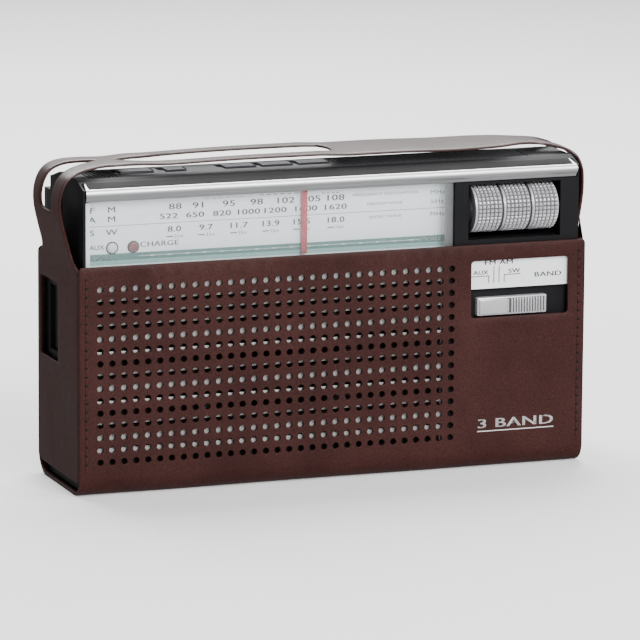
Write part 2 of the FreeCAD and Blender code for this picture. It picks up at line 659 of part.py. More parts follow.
# ---- telescopic aerial --------------------------------------------------------------------
def aerial_knuckle():
    """Fixed fork at the left end of the rebate, with the pivot screw through it."""
    x, y, z = aerial_x0, aerial_y, aerial_z
    base = box((x - 5, x + 5), (y - 4.2, y + 3.6), (lip_z, lip_z + 0.4))
    cheeks = [box((x - 4, x + 2.8), (y + s - 0.6, y + s + 0.6), (lip_z + 0.4, z + 2.6)) for s in (-3.6, 3.0)]
    pin = rod(1.3, (x, y - 3.6, z), (x, y + 3.6, z))
    return fuse([base] + cheeks + [pin])


def aerial_tube(index):
    """One telescoping section, hollow except for the thinnest, with a crimped collar at its mouth."""
    r = aerial_r[index]
    x0 = aerial_x0 + (4.8 if index == 0 else 7.0 + 1.8 * index)
    x1 = aerial_x0 + aerial_len + 1.4 * index
    y, z = aerial_y, aerial_z
    part = rod(r, (x0, y, z), (x1, y, z))
    if index == 0:
        eye = rod(2.6, (aerial_x0, y - 2.3, z), (aerial_x0, y + 1.7, z))
        part = part.fuse(eye).fuse(box((aerial_x0, x0 + 1), (y - 1.6, y + 1.4), (z - 1.6, z + 1.6)))
        part = part.cut(rod(1.3 + running, (aerial_x0, y - 5, z), (aerial_x0, y + 5, z)))
    if index < len(aerial_r) - 1:
        bore = aerial_r[index + 1] + running
        part = part.cut(rod(bore, (x0 + 1.2, y, z), (x1 + 1, y, z)))
    else:
        part = part.fuse(rod(2.4, (x1, y, z), (x1 + 4.0, y, z)))
    return part.removeSplitter()


def aerial_clip():
    x, y, z = 60.0, aerial_y, aerial_z
    clip = box((x, x + 6), (y - 4.0, y + 3.6), (lip_z, z + 0.6))
    return clip.cut(rod(2.9, (x - 1, y, z), (x + 7, y, z))).cut(box((x - 1, x + 7), (y - 2.9, y + 2.9), (z, z + 5)))


def build():
    os.makedirs("parts", exist_ok=True)
    shapes = {
        "case_wrap": case_wrap(), "case_strap": case_strap(), "case_snaps": case_snaps(),
        "cabinet": cabinet(), "rear_cover": rear_cover(), "cover_screws": cover_screws(),
        "trim_bar": trim_bar(), "dial_window": dial_window(), "dial_plate": dial_plate(),
        "status_lamp": indicator(lamps[0]), "charge_lamp": indicator(lamps[1]), "small_boards": small_boards(),
        "speaker_grille": speaker_grille(), "band_label": band_label(), "speaker_frame": speaker_frame(),
        "speaker_cone": speaker_cone(), "speaker_magnet": speaker_magnet(),
        "tone_wheel": thumb_wheel(0), "volume_wheel": thumb_wheel(1), "tuning_wheel": thumb_wheel(2),
        "wheel_axle": wheel_axle(), "tone_control": rotary_control(0), "volume_control": rotary_control(1),
        "dial_cord": dial_cord(), "left_pulley": idler(pulleys[0]), "right_pulley": idler(pulleys[1]),
        "pulley_bracket": idler_bracket(), "cord_drum": cord_drum(), "tuning_capacitor": tuning_capacitor(),
        "pointer": pointer(), "band_slider": band_slider(), "band_switch": band_switch(),
        "key_switches": key_switches(),
        "main_board": main_board(), "board_parts": board_parts(), "ferrite_rod": ferrite_rod(),
        "aerial_coils": aerial_coils(), "rod_holders": rod_holders(), "battery_box": battery_box(), "battery_cells": cells(),
        "battery_contacts": battery_contacts(), "battery_door": battery_door(),
        "socket_panel": socket_panel(), "phone_socket": phone_socket(), "power_socket": power_socket(),
        "charge_socket": charge_socket(),
        "deck_grille": deck_grille(), "mesh_panel": mesh_panel(),
        "aerial_knuckle": aerial_knuckle(), "aerial_clip": aerial_clip(),
    }
    for index in range(len(aerial_r)):
        shapes["aerial_section_%d" % (index + 1)] = aerial_tube(index)
    for name in keys:
        shapes[name] = key_cap(name)
    for node, shape in shapes.items():
        save(node, shape)
    print(len(shapes), "nodes")


build()
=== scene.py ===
import json
import math
import bmesh
import bpy
import numpy as np
from mathutils import Matrix, Vector, geometry, noise


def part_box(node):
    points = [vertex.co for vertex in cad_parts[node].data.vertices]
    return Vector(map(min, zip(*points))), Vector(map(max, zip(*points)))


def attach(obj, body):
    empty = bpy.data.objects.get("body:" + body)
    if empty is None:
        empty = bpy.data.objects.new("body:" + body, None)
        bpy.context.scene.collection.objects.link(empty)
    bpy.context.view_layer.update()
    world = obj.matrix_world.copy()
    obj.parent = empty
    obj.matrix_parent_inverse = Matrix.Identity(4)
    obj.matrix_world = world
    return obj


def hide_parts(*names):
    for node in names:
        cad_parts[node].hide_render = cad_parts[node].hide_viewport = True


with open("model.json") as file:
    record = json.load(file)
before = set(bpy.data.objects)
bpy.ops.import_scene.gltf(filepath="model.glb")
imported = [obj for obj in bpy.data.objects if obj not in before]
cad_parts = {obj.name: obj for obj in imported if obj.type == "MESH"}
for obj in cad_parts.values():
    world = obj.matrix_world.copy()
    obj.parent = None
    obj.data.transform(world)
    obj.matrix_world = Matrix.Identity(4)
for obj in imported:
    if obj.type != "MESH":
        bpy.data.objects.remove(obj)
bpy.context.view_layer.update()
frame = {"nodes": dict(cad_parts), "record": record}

nodes = frame["nodes"]
mm = 0.001
home = "receiver"   # the fixed body


spans = {name: [[v / mm for v in corner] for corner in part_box(name)] for name in nodes}


def span(node):
    # lowest and highest corner of a CAD node, in millimetres
    return spans[node]


# ---- camera, floor and light
cameraSet = {"place": (-754.4, -2030.3, 487.0), "yaw": 20.47, "pitch": 11.0, "roll": 0.405, "lens": 281.25}


def makeCamera():
    yaw, pitch, roll = (math.radians(cameraSet[k]) for k in ("yaw", "pitch", "roll"))
    ahead = Vector((math.sin(yaw) * math.cos(pitch), math.cos(yaw) * math.cos(pitch), -math.sin(pitch)))
    right = Vector((math.cos(yaw), -math.sin(yaw), 0))
    up = right.cross(ahead)
    right, up = (right * math.cos(roll) + up * math.sin(roll), up * math.cos(roll) - right * math.sin(roll))
    lens = bpy.data.cameras.new("camera")
    lens.lens = cameraSet["lens"]
    lens.sensor_width = 36
    lens.clip_start = 0.05
    camera = bpy.data.objects.new("camera", lens)
    bpy.context.scene.collection.objects.link(camera)
    turn = Matrix((right, up, -ahead)).transposed().to_4x4()
    camera.matrix_world = Matrix.Translation(Vector(cameraSet["place"]) * mm) @ turn
    bpy.context.scene.camera = camera


lightSet = {
    "sky": (1.0, 1.0, 1.0), "skyPower": 0.36,
    "key": {"place": (0.25, -1.9, 1.25), "size": 1.0, "power": 60},
    "fill": {"place": (1.5, -0.8, 0.9), "size": 1.0, "power": 14},
    "top": {"place": (0.1, 0.9, 1.25), "size": 1.4, "power": 48},
}


def makeLight(name, place, size, power):
    lamp = bpy.data.lights.new(name, "AREA")
    lamp.shape = "SQUARE"
    lamp.size = size
    lamp.energy = power
    thing = bpy.data.objects.new(name, lamp)
    thing.location = place
    thing.rotation_euler = (Vector((0, 0, 0.07)) - Vector(place)).to_track_quat("-Z", "Y").to_euler()
    bpy.context.scene.collection.objects.link(thing)


def makeStage():
    world = bpy.data.worlds.new("studio")
    bpy.context.scene.world = world
    world.use_nodes = True
    sky = world.node_tree.nodes["Background"]
    sky.inputs["Color"].default_value = (*lightSet["sky"], 1)
    sky.inputs["Strength"].default_value = lightSet["skyPower"]
    for name in ("key", "fill", "top"):
        makeLight(name, **lightSet[name])
    mesh = bpy.data.meshes.new("floor")
    reach = 6.0
    mesh.from_pydata([(-reach, -reach, 0), (reach, -reach, 0), (reach, reach, 0), (-reach, reach, 0)], [],
                     [(0, 1, 2, 3)])
    floor = bpy.data.objects.new("floor", mesh)
    bpy.context.scene.collection.objects.link(floor)
    mesh.materials.append(paleFloor())
    floor.visible_glossy = False
    # a dark card beyond the left end, there for reflections only
    card = bpy.data.meshes.new("darkCard")
    card.from_pydata([(-0.75, -0.9, 0.02), (-0.75, 0.8, 0.02), (-0.75, 0.8, 0.9), (-0.75, -0.9, 0.9)], [],
                     [(0, 1, 2, 3)])
    flag = bpy.data.objects.new("darkCard", card)
    bpy.context.scene.collection.objects.link(flag)
    card.materials.append(flagAndPaintedHoleShade)
    flag.visible_camera = False
    flag.visible_diffuse = False
    flag.visible_shadow = False


# ---- shader and geometry wiring
class Wire:
    # one socket of a node tree; arithmetic on wires adds Math nodes
    def __init__(self, tree, socket=None):
        self.tree, self.socket = tree, socket

    def node(self, kind, settings=None, inputs=None, out=0):
        made = self.tree.nodes.new(kind)
        for key, value in (settings or {}).items():
            setattr(made, key, value)
        for key, value in (inputs or {}).items():
            if isinstance(value, Wire):
                self.tree.links.new(value.socket, made.inputs[key])
            else:
                made.inputs[key].default_value = value
        return Wire(self.tree, made.outputs[out])

    def math(self, operation, *values):
        return self.node("ShaderNodeMath", {"operation": operation}, dict(enumerate(values)))

    def __add__(self, other): return self.math("ADD", self, other)
    def __radd__(self, other): return self.math("ADD", other, self)
    def __sub__(self, other): return self.math("SUBTRACT", self, other)
    def __rsub__(self, other): return self.math("SUBTRACT", other, self)
    def __mul__(self, other): return self.math("MULTIPLY", self, other)
    def __rmul__(self, other): return self.math("MULTIPLY", other, self)
    def __truediv__(self, other): return self.math("DIVIDE", self, other)

    def place(self):
        return self.node("ShaderNodeTexCoord", out="Object")

    def noise(self, where, scale, detail=3.0, rough=0.55):
        return self.node("ShaderNodeTexNoise", {}, {"Vector": where, "Scale": scale, "Detail": detail,
                                                    "Roughness": rough})

    def stretch(self, where, scale):
        return self.node("ShaderNodeMapping", {}, {"Vector": where, "Scale": scale})

    def blend(self, factor, a, b):
        # the colour mix: 6 and 7 are its two colours, 2 its colour out
        a, b = (c if isinstance(c, Wire) else (*c, 1) for c in (a, b))
        return self.node("ShaderNodeMix", {"data_type": "RGBA"}, {0: factor, 6: a, 7: b}, 2)

    def fit(self, value, low, high, to=0.0, upTo=1.0):
        return self.node("ShaderNodeMapRange", {}, {"Value": value, "From Min": low, "From Max": high,
                                                    "To Min": to, "To Max": upTo})

    def bump(self, height, strength, depth):
        return self.node("ShaderNodeBump", {}, {"Height": height, "Strength": strength, "Distance": depth})

    def axes(self, where):
        split = self.node("ShaderNodeSeparateXYZ", {}, {"Vector": where})
        made = split.socket.node
        return [Wire(self.tree, made.outputs[i]) for i in range(3)]


def startFinish(name):
    material = bpy.data.materials.new(name)
    material.use_nodes = True
    material.node_tree.nodes.clear()
    return material, Wire(material.node_tree)


def endFinish(material, g, **sockets):
    inputs = {key.replace("_", " "): ((*v, 1) if isinstance(v, tuple) and len(v) == 3 else v)
              for key, v in sockets.items()}
    shader = g.node("ShaderNodeBsdfPrincipled", {}, inputs)
    return closeFinish(material, g, shader)


def closeFinish(material, g, shader):
    end = g.tree.nodes.new("ShaderNodeOutputMaterial")
    g.tree.links.new(shader.socket, end.inputs["Surface"])
    return material


# ---- finishes
def paleFloor():
    material, g = startFinish("paleFloor")
    soft = g.noise(g.place(), 3.0)
    tone = g.blend(soft, (0.93, 0.93, 0.93), (0.95, 0.95, 0.95))
    return endFinish(material, g, Base_Color=tone, Roughness=0.7, Specular_IOR_Level=0.1,
                     Emission_Color=(1, 1, 1), Emission_Strength=0.22)


def leatherFinish(name, light, deep, gloss, sheenFrom=None):
    material, g = startFinish(name)
    where = g.place()
    cells = g.node("ShaderNodeTexVoronoi", {"feature": "SMOOTH_F1"}, {"Vector": where, "Scale": 1250.0,
                                                                      "Smoothness": 0.35})
    creases = g.noise(where, 420.0, 4.0, 0.6)
    cloud = g.noise(where, 28.0, 4.0)
    specks = g.noise(where, 900.0, 2.0)
    tone = g.blend(g.fit(cloud, 0.35, 0.65), deep, light)
    tone = g.blend(g.fit(specks, 0.55, 0.75) * 0.5, tone, tuple(c * 1.7 for c in light))
    tone = g.blend(g.fit(cells, 0.45, 0.8) * 0.55, tone, tuple(c * 0.55 for c in deep))
    rough = g.fit(cloud + creases * 0.4, 0.4, 1.0, gloss - 0.05, gloss + 0.1)
    relief = cells * -0.7 + creases * 0.8 + cloud * 0.6
    normal = g.bump(relief, 0.5, 0.00014)
    more = {}
    if sheenFrom:
        # the top of the strap is polished by handling
        _, _, height = g.axes(where)
        more = {"Coat_Weight": g.fit(height, sheenFrom[0], sheenFrom[1], 0.0, 0.62), "Coat_Roughness": 0.34}
    return endFinish(material, g, Base_Color=tone, Roughness=rough, Normal=normal, Specular_IOR_Level=0.16,
                     **more)


def plasticFinish(name, colour, gloss, grain=0.00003, scale=2600.0, paintedTopSheen=0.0):
    material, g = startFinish(name)
    where = g.place()
    fine = g.noise(where, scale, 2.0)
    cloud = g.noise(where, 45.0)
    tone = g.blend(cloud, tuple(c * 0.85 for c in colour), tuple(c * 1.15 for c in colour))
    rough = g.fit(fine * 0.6 + cloud * 0.4, 0.3, 0.7, gloss - 0.05, gloss + 0.07)
    if paintedTopSheen:
        # the top face is greyed: painted sheen, a painted reflection
        _, _, height = g.axes(where)
        tone = g.blend(g.fit(height, 0.13690, 0.13715), tone, (paintedTopSheen, paintedTopSheen, paintedTopSheen * 1.06))
    return endFinish(material, g, Base_Color=tone, Roughness=rough, Normal=g.bump(fine, 0.35, grain),
                     Specular_IOR_Level=0.2)


def brushedFinish(name, colour, gloss, along=(4.0, 900.0, 900.0), metal=1.0):
    material, g = startFinish(name)
    where = g.place()
    streaks = g.noise(g.stretch(where, along), 1.0, 3.0)
    cloud = g.noise(where, 30.0)
    tone = g.blend(streaks, tuple(c * 0.93 for c in colour), colour)
    rough = g.fit(streaks * 0.7 + cloud * 0.3, 0.3, 0.7, gloss - 0.04, gloss + 0.06)
    return endFinish(material, g, Base_Color=tone, Roughness=rough, Metallic=metal,
                     Normal=g.bump(streaks, 0.12, 0.00003))


def platedFinish(name, colour, gloss, metal=0.55):
    material, g = startFinish(name)
    cloud = g.noise(g.place(), 90.0, 2.0)
    tone = g.blend(cloud, tuple(c * 0.93 for c in colour), colour)
    rough = g.fit(cloud, 0.3, 0.7, gloss - 0.03, gloss + 0.03)
    return endFinish(material, g, Base_Color=tone, Roughness=rough, Metallic=metal)


def printedFinish(name, colour, gloss=0.5):
    material, g = startFinish(name)
    where = g.place()
    worn = g.noise(where, 1600.0, 2.0)
    tone = g.blend(g.fit(worn, 0.3, 0.7), tuple(c * 0.85 for c in colour), colour)
    rough = g.fit(worn, 0.2, 0.8, gloss - 0.08, gloss + 0.08)
    return endFinish(material, g, Base_Color=tone, Roughness=rough)


def clearFinish(name, tint, shine=0.04, mirror=0.06):
    # seen through: tinted passage mixed with an even share of gloss
    material, g = startFinish(name)
    haze = g.noise(g.place(), 300.0, 2.0)
    passing = g.node("ShaderNodeBsdfTransparent", {}, {"Color": (*tint, 1)})
    gloss = g.node("ShaderNodeBsdfPrincipled", {}, {
        "Base Color": (0.9, 0.92, 0.93, 1), "Roughness": g.fit(haze, 0.2, 0.8, shine, shine + 0.03),
        "Metallic": 0.0})
    share = g.fit(haze, 0.2, 0.8, mirror * 0.9, mirror * 1.1)
    shader = g.node("ShaderNodeMixShader", {}, {0: share, 1: passing, 2: gloss})
    return closeFinish(material, g, shader)


def copperFinish():
    material, g = startFinish("copperWinding")
    x, _, _ = g.axes(g.place())
    turns = g.math("SINE", x * (2 * math.pi / 0.0006))
    tone = g.blend(g.fit(turns, -1, 1), (0.16, 0.06, 0.025), (0.5, 0.22, 0.09))
    return endFinish(material, g, Base_Color=tone, Roughness=0.4, Metallic=0.7,
                     Normal=g.bump(turns, 0.6, 0.0001))


def boardFinish():
    material, g = startFinish("boardGreen")
    where = g.place()
    tracks = g.node("ShaderNodeTexBrick", {}, {"Vector": where, "Scale": 260.0, "Mortar Size": 0.04,
                                               "Color1": (0, 0, 0, 1), "Color2": (0, 0, 0, 1),
                                               "Mortar": (1, 1, 1, 1)})
    cloud = g.noise(where, 60.0)
    base = g.blend(cloud, (0.015, 0.09, 0.035), (0.02, 0.13, 0.05))
    tone = g.blend(tracks, base, (0.05, 0.22, 0.1))
    return endFinish(material, g, Base_Color=tone, Roughness=g.fit(cloud, 0.3, 0.7, 0.3, 0.42))


hideColours = (0.044, 0.0130, 0.0108), (0.031, 0.0090, 0.0078)
leather = leatherFinish("brownLeather", *hideColours, 0.46)
strapLeather = leatherFinish("strapLeather", *hideColours, 0.46, (0.126, 0.139))
finishes = {
    "brown_leather": leather,
    "black_plastic": plasticFinish("blackPlastic", (0.0055, 0.0055, 0.0068), 0.38),
    # the deck plastic is the black plastic painted lighter grey: painted reflection
    "grey_plastic": plasticFinish("deckPlastic", (0.040, 0.040, 0.048), 0.36),
    "bright_trim": brushedFinish("satinTrim", (0.90, 0.90, 0.92), 0.42, (3.0, 500.0, 500.0)),
    "clear_window": clearFinish("clearPane", (0.97, 0.985, 0.985)),
    "silver_print": brushedFinish("silverPlate", (0.86, 0.87, 0.90), 0.42, (3.0, 700.0, 700.0), 0.08),
    "red_lens": plasticFinish("redLens", (0.36, 0.022, 0.032), 0.25),
    "clear_lens": plasticFinish("clearLens", (0.62, 0.63, 0.65), 0.12),
    "bright_plastic": platedFinish("platedPlastic", (0.66, 0.66, 0.68), 0.30),
    "circuit_board": boardFinish(),
    "component": plasticFinish("componentCase", (0.14, 0.14, 0.15), 0.4),
    "steel": brushedFinish("platedSteel", (0.56, 0.56, 0.58), 0.3, (300.0, 300.0, 300.0)),
    "chrome": brushedFinish("polishedTube", (0.86, 0.86, 0.88), 0.1, (20.0, 900.0, 900.0)),
    "paper_cone": plasticFinish("paperCone", (0.02, 0.02, 0.021), 0.85, 0.0002, 500.0),
    "ferrite": plasticFinish("ferriteGrey", (0.05, 0.05, 0.052), 0.6),
    "copper_wire": copperFinish(),
    "cord": plasticFinish("waxedCord", (0.35, 0.3, 0.2), 0.7, 0.0001, 1500.0),
    "white_plastic": plasticFinish("naturalNylon", (0.62, 0.6, 0.55), 0.4),
    "cell_wrap": plasticFinish("cellSleeve", (0.03, 0.1, 0.3), 0.3),
    "brass_snap": brushedFinish("antiqueBrass", (0.42, 0.30, 0.15), 0.32, (300.0, 300.0, 300.0)),
    "mesh": plasticFinish("meshBlack", (0.050, 0.050, 0.058), 0.34),
}
inkDark = printedFinish("darkInk", (0.030, 0.031, 0.035))
inkTeal = printedFinish("tealInk", (0.042, 0.180, 0.155))
inkPale = printedFinish("paleTealInk", (0.27, 0.50, 0.48))
inkWhite = printedFinish("whiteInk", (0.85, 0.88, 0.87))
inkGold = printedFinish("ochreInk", (0.42, 0.34, 0.16))
inkSilver = printedFinish("silverInk", (0.62, 0.61, 0.60), 0.35)
threadBrown = plasticFinish("brownThread", (0.036, 0.010, 0.0085), 0.6, 0.0001, 3000.0)
lampRed = plasticFinish("darkRedLens", (0.16, 0.025, 0.025), 0.15)
# dark grey for the ground between the wheel studs and between the slider ribs: painted shade in those gaps;
# the wheel axle takes it too
gripBase = platedFinish("gripBase", (0.085, 0.085, 0.09), 0.5, 0.2)
slatSilver = platedFinish("slatSilver", (0.40, 0.40, 0.39), 0.5, 0.3)
lipBlack = plasticFinish("lipBlack", (0.006, 0.006, 0.007), 0.62)
# the deck's top face is greyed by painted sheen, a painted reflection
deckBlack = plasticFinish("deckBlack", (0.0060, 0.0060, 0.0072), 0.5, paintedTopSheen=0.045)
# black for the reflection card, and painted shade for the stitch prick holes
flagAndPaintedHoleShade = plasticFinish("blackWell", (0.004, 0.004, 0.005), 0.5)


def dressCad():
    # every CAD node takes the finish of its record slot
    slotOf = {row["node"]: row["material_slot"] for row in frame["record"]["subparts"]}
    special = {"wheel_axle": gripBase, "cabinet": deckBlack, "deck_grille": deckBlack}
    for name, node in nodes.items():
        node.data.materials.clear()
        node.data.materials.append(special.get(name) or finishes[slotOf[name]])
    print("CAD nodes dressed:", len(nodes))


# ---- mesh helpers
def addMesh(name, points, faces, finish, smooth=40.0, slots=None):
    mesh = bpy.data.meshes.new(name)
    mesh.from_pydata([tuple(c * mm for c in p) for p in points], [], faces)
    for one in (finish if isinstance(finish, list) else [finish]):
        mesh.materials.append(one)
    if slots:
        mesh.polygons.foreach_set("material_index", slots)
    thing = bpy.data.objects.new(name, mesh)
    bpy.context.scene.collection.objects.link(thing)
    tidyMesh(mesh, smooth)
    return thing


def tidyMesh(mesh, smooth=40.0):
    work = bmesh.new()
    work.from_mesh(mesh)
    bmesh.ops.remove_doubles(work, verts=work.verts, dist=1e-7)
    bmesh.ops.recalc_face_normals(work, faces=work.faces)
    work.to_mesh(mesh)
    work.free()
    mesh.polygons.foreach_set("use_smooth", [True] * len(mesh.polygons))
    mesh.set_sharp_from_angle(angle=math.radians(smooth))


def setPiece(thing, body, slot, *stands):
    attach(thing, body)
    if stands:
        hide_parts(*stands)
    return thing


def softBox(name, low, high, finish, radius, steps=3):
    # box with rounded edges
    work = bmesh.new()
    made = bmesh.ops.create_cube(work, size=1.0)
    for v in made["verts"]:
        v.co = Vector([(low[i] + (v.co[i] + 0.5) * (high[i] - low[i])) * mm for i in range(3)])
    bmesh.ops.bevel(work, geom=work.edges[:], offset=radius * mm, segments=steps, affect="EDGES",
                    profile=0.5)
    mesh = bpy.data.meshes.new(name)
    work.to_mesh(mesh)
    work.free()
    mesh.materials.append(finish)
    thing = bpy.data.objects.new(name, mesh)
    bpy.context.scene.collection.objects.link(thing)
    mesh.polygons.foreach_set("use_smooth", [True] * len(mesh.polygons))
    mesh.set_sharp_from_angle(angle=math.radians(35))
    return thing


def joinPieces(name, things):
    bpy.ops.object.select_all(action="DESELECT")
    for thing in things:
        thing.select_set(True)
    bpy.context.view_layer.objects.active = things[0]
    bpy.ops.object.join()
    things[0].name = name
    return things[0]


# ---- cut hide: a flat pattern with holes, laid along a surface and given thickness
def insetLoop(loop, amount):
    # moves each point to the left of the way round: into an outline, away from a hole
    moved = []
    for i, (x, y) in enumerate(loop):
        (ax, ay), (bx, by) = loop[i - 1], loop[(i + 1) % len(loop)]
        size = math.hypot(bx - ax, by - ay)
        moved.append((x - (by - ay) / size * amount, y + (bx - ax) / size * amount))
    return moved


def inLoop(loop, x, y):
    inside = False
    for (ax, ay), (bx, by) in zip(loop, loop[1:] + loop[:1]):
        if (ay > y) != (by > y) and x < (bx - ax) * (y - ay) / (by - ay) + ax:
            inside = not inside
    return inside


def spreadPoints(columns, rows, loops, keep=1.0):
    # grid points inside the first loop, outside the others and clear of every edge
    edge = np.array([p for loop in loops for p in loop])
    holes = [insetLoop(loop, keep) for loop in loops[1:]]
    found = []
    for v in rows:
        for u in columns:
            if np.min(np.abs(edge - (u, v)).max(axis=1)) < keep:
                continue
            if inLoop(loops[0], u, v) and not any(inLoop(h, u, v) for h in holes):
                found.append((u, v))
    return found


# levels of a cut edge: inset in millimetres, share of the depth
edgeCut = [(0.5, 0.0), (0.18, 0.1), (0.0, 0.42), (0.0, 0.72), (0.18, 0.92), (0.5, 1.0)]
punchCut = [(0.20, 0.0), (0.05, 0.06), (0.0, 0.22), (0.0, 1.0)]


def cutHide(name, outline, holes, fill, lay, thick, finish, sieve=None):
    # outline runs counterclockwise, holes clockwise; a sieve is a block of punched square cells
    loops = [outline] + holes
    seam = [sieveEdge(sieve)[::-1]] if sieve else []
    flat, edges = [], []
    for loop, inset in [(loop, edgeCut[0][0]) for loop in loops] + [(loop, 0.0) for loop in seam]:
        start = len(flat)
        flat += insetLoop(loop, inset) if inset else loop
        edges += [(start + i, start + (i + 1) % len(loop)) for i in range(len(loop))]
    owner = [k for k, loop in enumerate(loops + seam) for _ in loop] + [-1] * len(fill)
    flat += fill
    corners = [Vector(p) for p in flat]
    _, _, faces, source, _, _ = geometry.delaunay_2d_cdt(corners, edges, [], 0, 1e-7, True)
    kept = []
    drawn = [insetLoop(loop, edgeCut[0][0]) for loop in loops] + seam
    for face in faces:
        a, b, c = (source[i][0] for i in face)
        if owner[a] == owner[b] == owner[c] >= 0:
            x, y = (sum(flat[i][k] for i in (a, b, c)) / 3 for k in (0, 1))
            if inLoop(drawn[owner[a]], x, y) == (owner[a] > 0):
                continue
        kept.append((a, b, c))
    back = [p for loop in loops for p in insetLoop(loop, edgeCut[-1][0])] + (seam[0] if seam else []) + fill
    points = [lay(u, v, 0.0) for u, v in flat] + [lay(u, v, thick) for u, v in back]
    total = len(flat)
    made = kept + [(c + total, b + total, a + total) for a, b, c in kept]
    start = 0
    for loop in loops:
        ring = [start + i for i in range(len(loop))]
        far = [i + total for i in ring]
        made += cutWall(points, loop, edgeCut, ring, far, lay, thick)
        start += len(loop)
    if sieve:
        made += sieveFaces(points, sieve, lay, thick)
    return addMesh(name, points, made, finish, 28.0)


def cutWall(points, loop, cut, ring, far, lay, thick):
    # the cut edge between the front ring and the back ring, through the levels of the cut
    made = []
    for step, (inset, share) in enumerate(cut[1:], 1):
        following = far
        if step < len(cut) - 1:
            following = [len(points) + i for i in range(len(loop))]
            points += [lay(u, v, share * thick) for u, v in insetLoop(loop, inset)]
        made += [(ring[i], following[i], following[(i + 1) % len(loop)], ring[(i + 1) % len(loop)])
                 for i in range(len(loop))]
        ring = following
    return made


def squareCell(u, v, half):
    # sixteen points round a square cell, counterclockwise from the middle of its right side
    side = [(half, half * k / 2) for k in range(-2, 2)]
    turned = []
    for quarter in range(4):
        for x, y in side:
            for _ in range(quarter):
                x, y = -y, x
            turned.append((round(u + x, 4), round(v + y, 4)))
    return turned


def sieveEdge(sieve):
    # the block's border, with the cells' own corner and edge points, counterclockwise
    half, n, m = sieve["pitch"] / 2, sieve["columns"], sieve["rows"]
    x0, y0 = sieve["first"][0] - half, sieve["first"][1] - half
    border = [(x0 + half * k / 2, y0) for k in range(4 * n)]
    border += [(x0 + 2 * half * n, y0 + half * k / 2) for k in range(4 * m)]
    border += [(x0 + 2 * half * n - half * k / 2, y0 + 2 * half * m) for k in range(4 * n)]
    border += [(x0, y0 + 2 * half * m - half * k / 2) for k in range(4 * m)]
    return [(round(x, 4), round(y, 4)) for x, y in border]


def sieveFaces(points, sieve, lay, thick):
    made = []
    half, radius = sieve["pitch"] / 2, sieve["radius"]
    for i in range(sieve["columns"]):
        for j in range(sieve["rows"]):
            u, v = sieve["first"][0] + 2 * half * i, sieve["first"][1] + 2 * half * j
            square = squareCell(u, v, half)
            circle = [(u + radius * math.cos(a), v + radius * math.sin(a))
                      for a in (2 * math.pi * (k - 2) / 16 for k in range(16))]
            rings = {}
            for depth, inset in ((0.0, punchCut[0][0]), (thick, punchCut[-1][0])):
                outer = [len(points) + k for k in range(16)]
                points += [lay(a, b, depth) for a, b in square]
                inner = [len(points) + k for k in range(16)]
                points += [lay(a, b, depth) for a, b in insetLoop(circle[::-1], inset)[::-1]]
                rings[depth] = inner
                for k in range(16):
                    n = (k + 1) % 16
                    face = (outer[k], outer[n], inner[n], inner[k])
                    made.append(face if depth == 0.0 else face[::-1])
            near, far = rings[0.0][::-1], rings[thick][::-1]
            made += cutWall(points, circle[::-1], punchCut, near, far, lay, thick)
    return made


def roundedLoop(low, high, radius, clockwise=False):
    loop, steps = [], 5
    left, right, down, up = low[0] + radius, high[0] - radius, low[1] + radius, high[1] - radius
    for cx, cy, start in ((right, up, 0), (left, up, 90), (left, down, 180), (right, down, 270)):
        for k in range(steps + 1):
            angle = math.radians(start + 90 * k / steps)
            loop.append((cx + radius * math.cos(angle), cy + radius * math.sin(angle)))
    return loop[::-1] if clockwise else loop


wrapSet = {"thick": 1.5, "foldFront": 8.5, "foldRear": 11.0, "corner": 2.0,
           "holePitch": 5.4, "holeRadius": 1.42, "columns": 31, "rows": 15, "firstX": -108.0, "topZ": 91.0,
           "wave": 0.22}


def wrapPlace(x, s, depth):
    # s runs down the front from its top edge, under the case and up the back
    (_, y0, _), (_, _, z1) = span("case_wrap")
    f, r = wrapSet["foldFront"], wrapSet["foldRear"]
    y1 = -y0
    marks = [z1 - f, f * math.pi / 2, y1 - y0 - f - r, r * math.pi / 2]
    ripple = wrapSet["wave"] * max(0.0, noise.noise(Vector((x * 0.021, s * 0.03, 0.4))) + 0.15)
    d = depth - ripple
    if s < marks[0]:
        return x, y0 + d, z1 - s
    s -= marks[0]
    if s < marks[1]:
        angle = s / f
        return x, y0 + f - (f - d) * math.cos(angle), f - (f - d) * math.sin(angle)
    s -= marks[1]
    if s < marks[2]:
        return x, y0 + f + s, depth
    s -= marks[2]
    if s < marks[3]:
        angle = s / r
        return x, y1 - r + (r - d) * math.sin(angle), r - (r - d) * math.cos(angle)
    return x, y1 - d, r + s - marks[3]


def wrapLength():
    (_, y0, _), (_, _, top) = span("case_wrap")
    f, r = wrapSet["foldFront"], wrapSet["foldRear"]
    return 2 * top - 2 * y0 - 2 * (f + r) + (f + r) * math.pi / 2


bandWindow = (63.4, 68.3), (109.3, 93.6)   # lowest and highest x and z of the hole over the band slider
doorWindow = {"side": 3.2, "below": 1.2, "above": 3.2}   # clear of the battery door


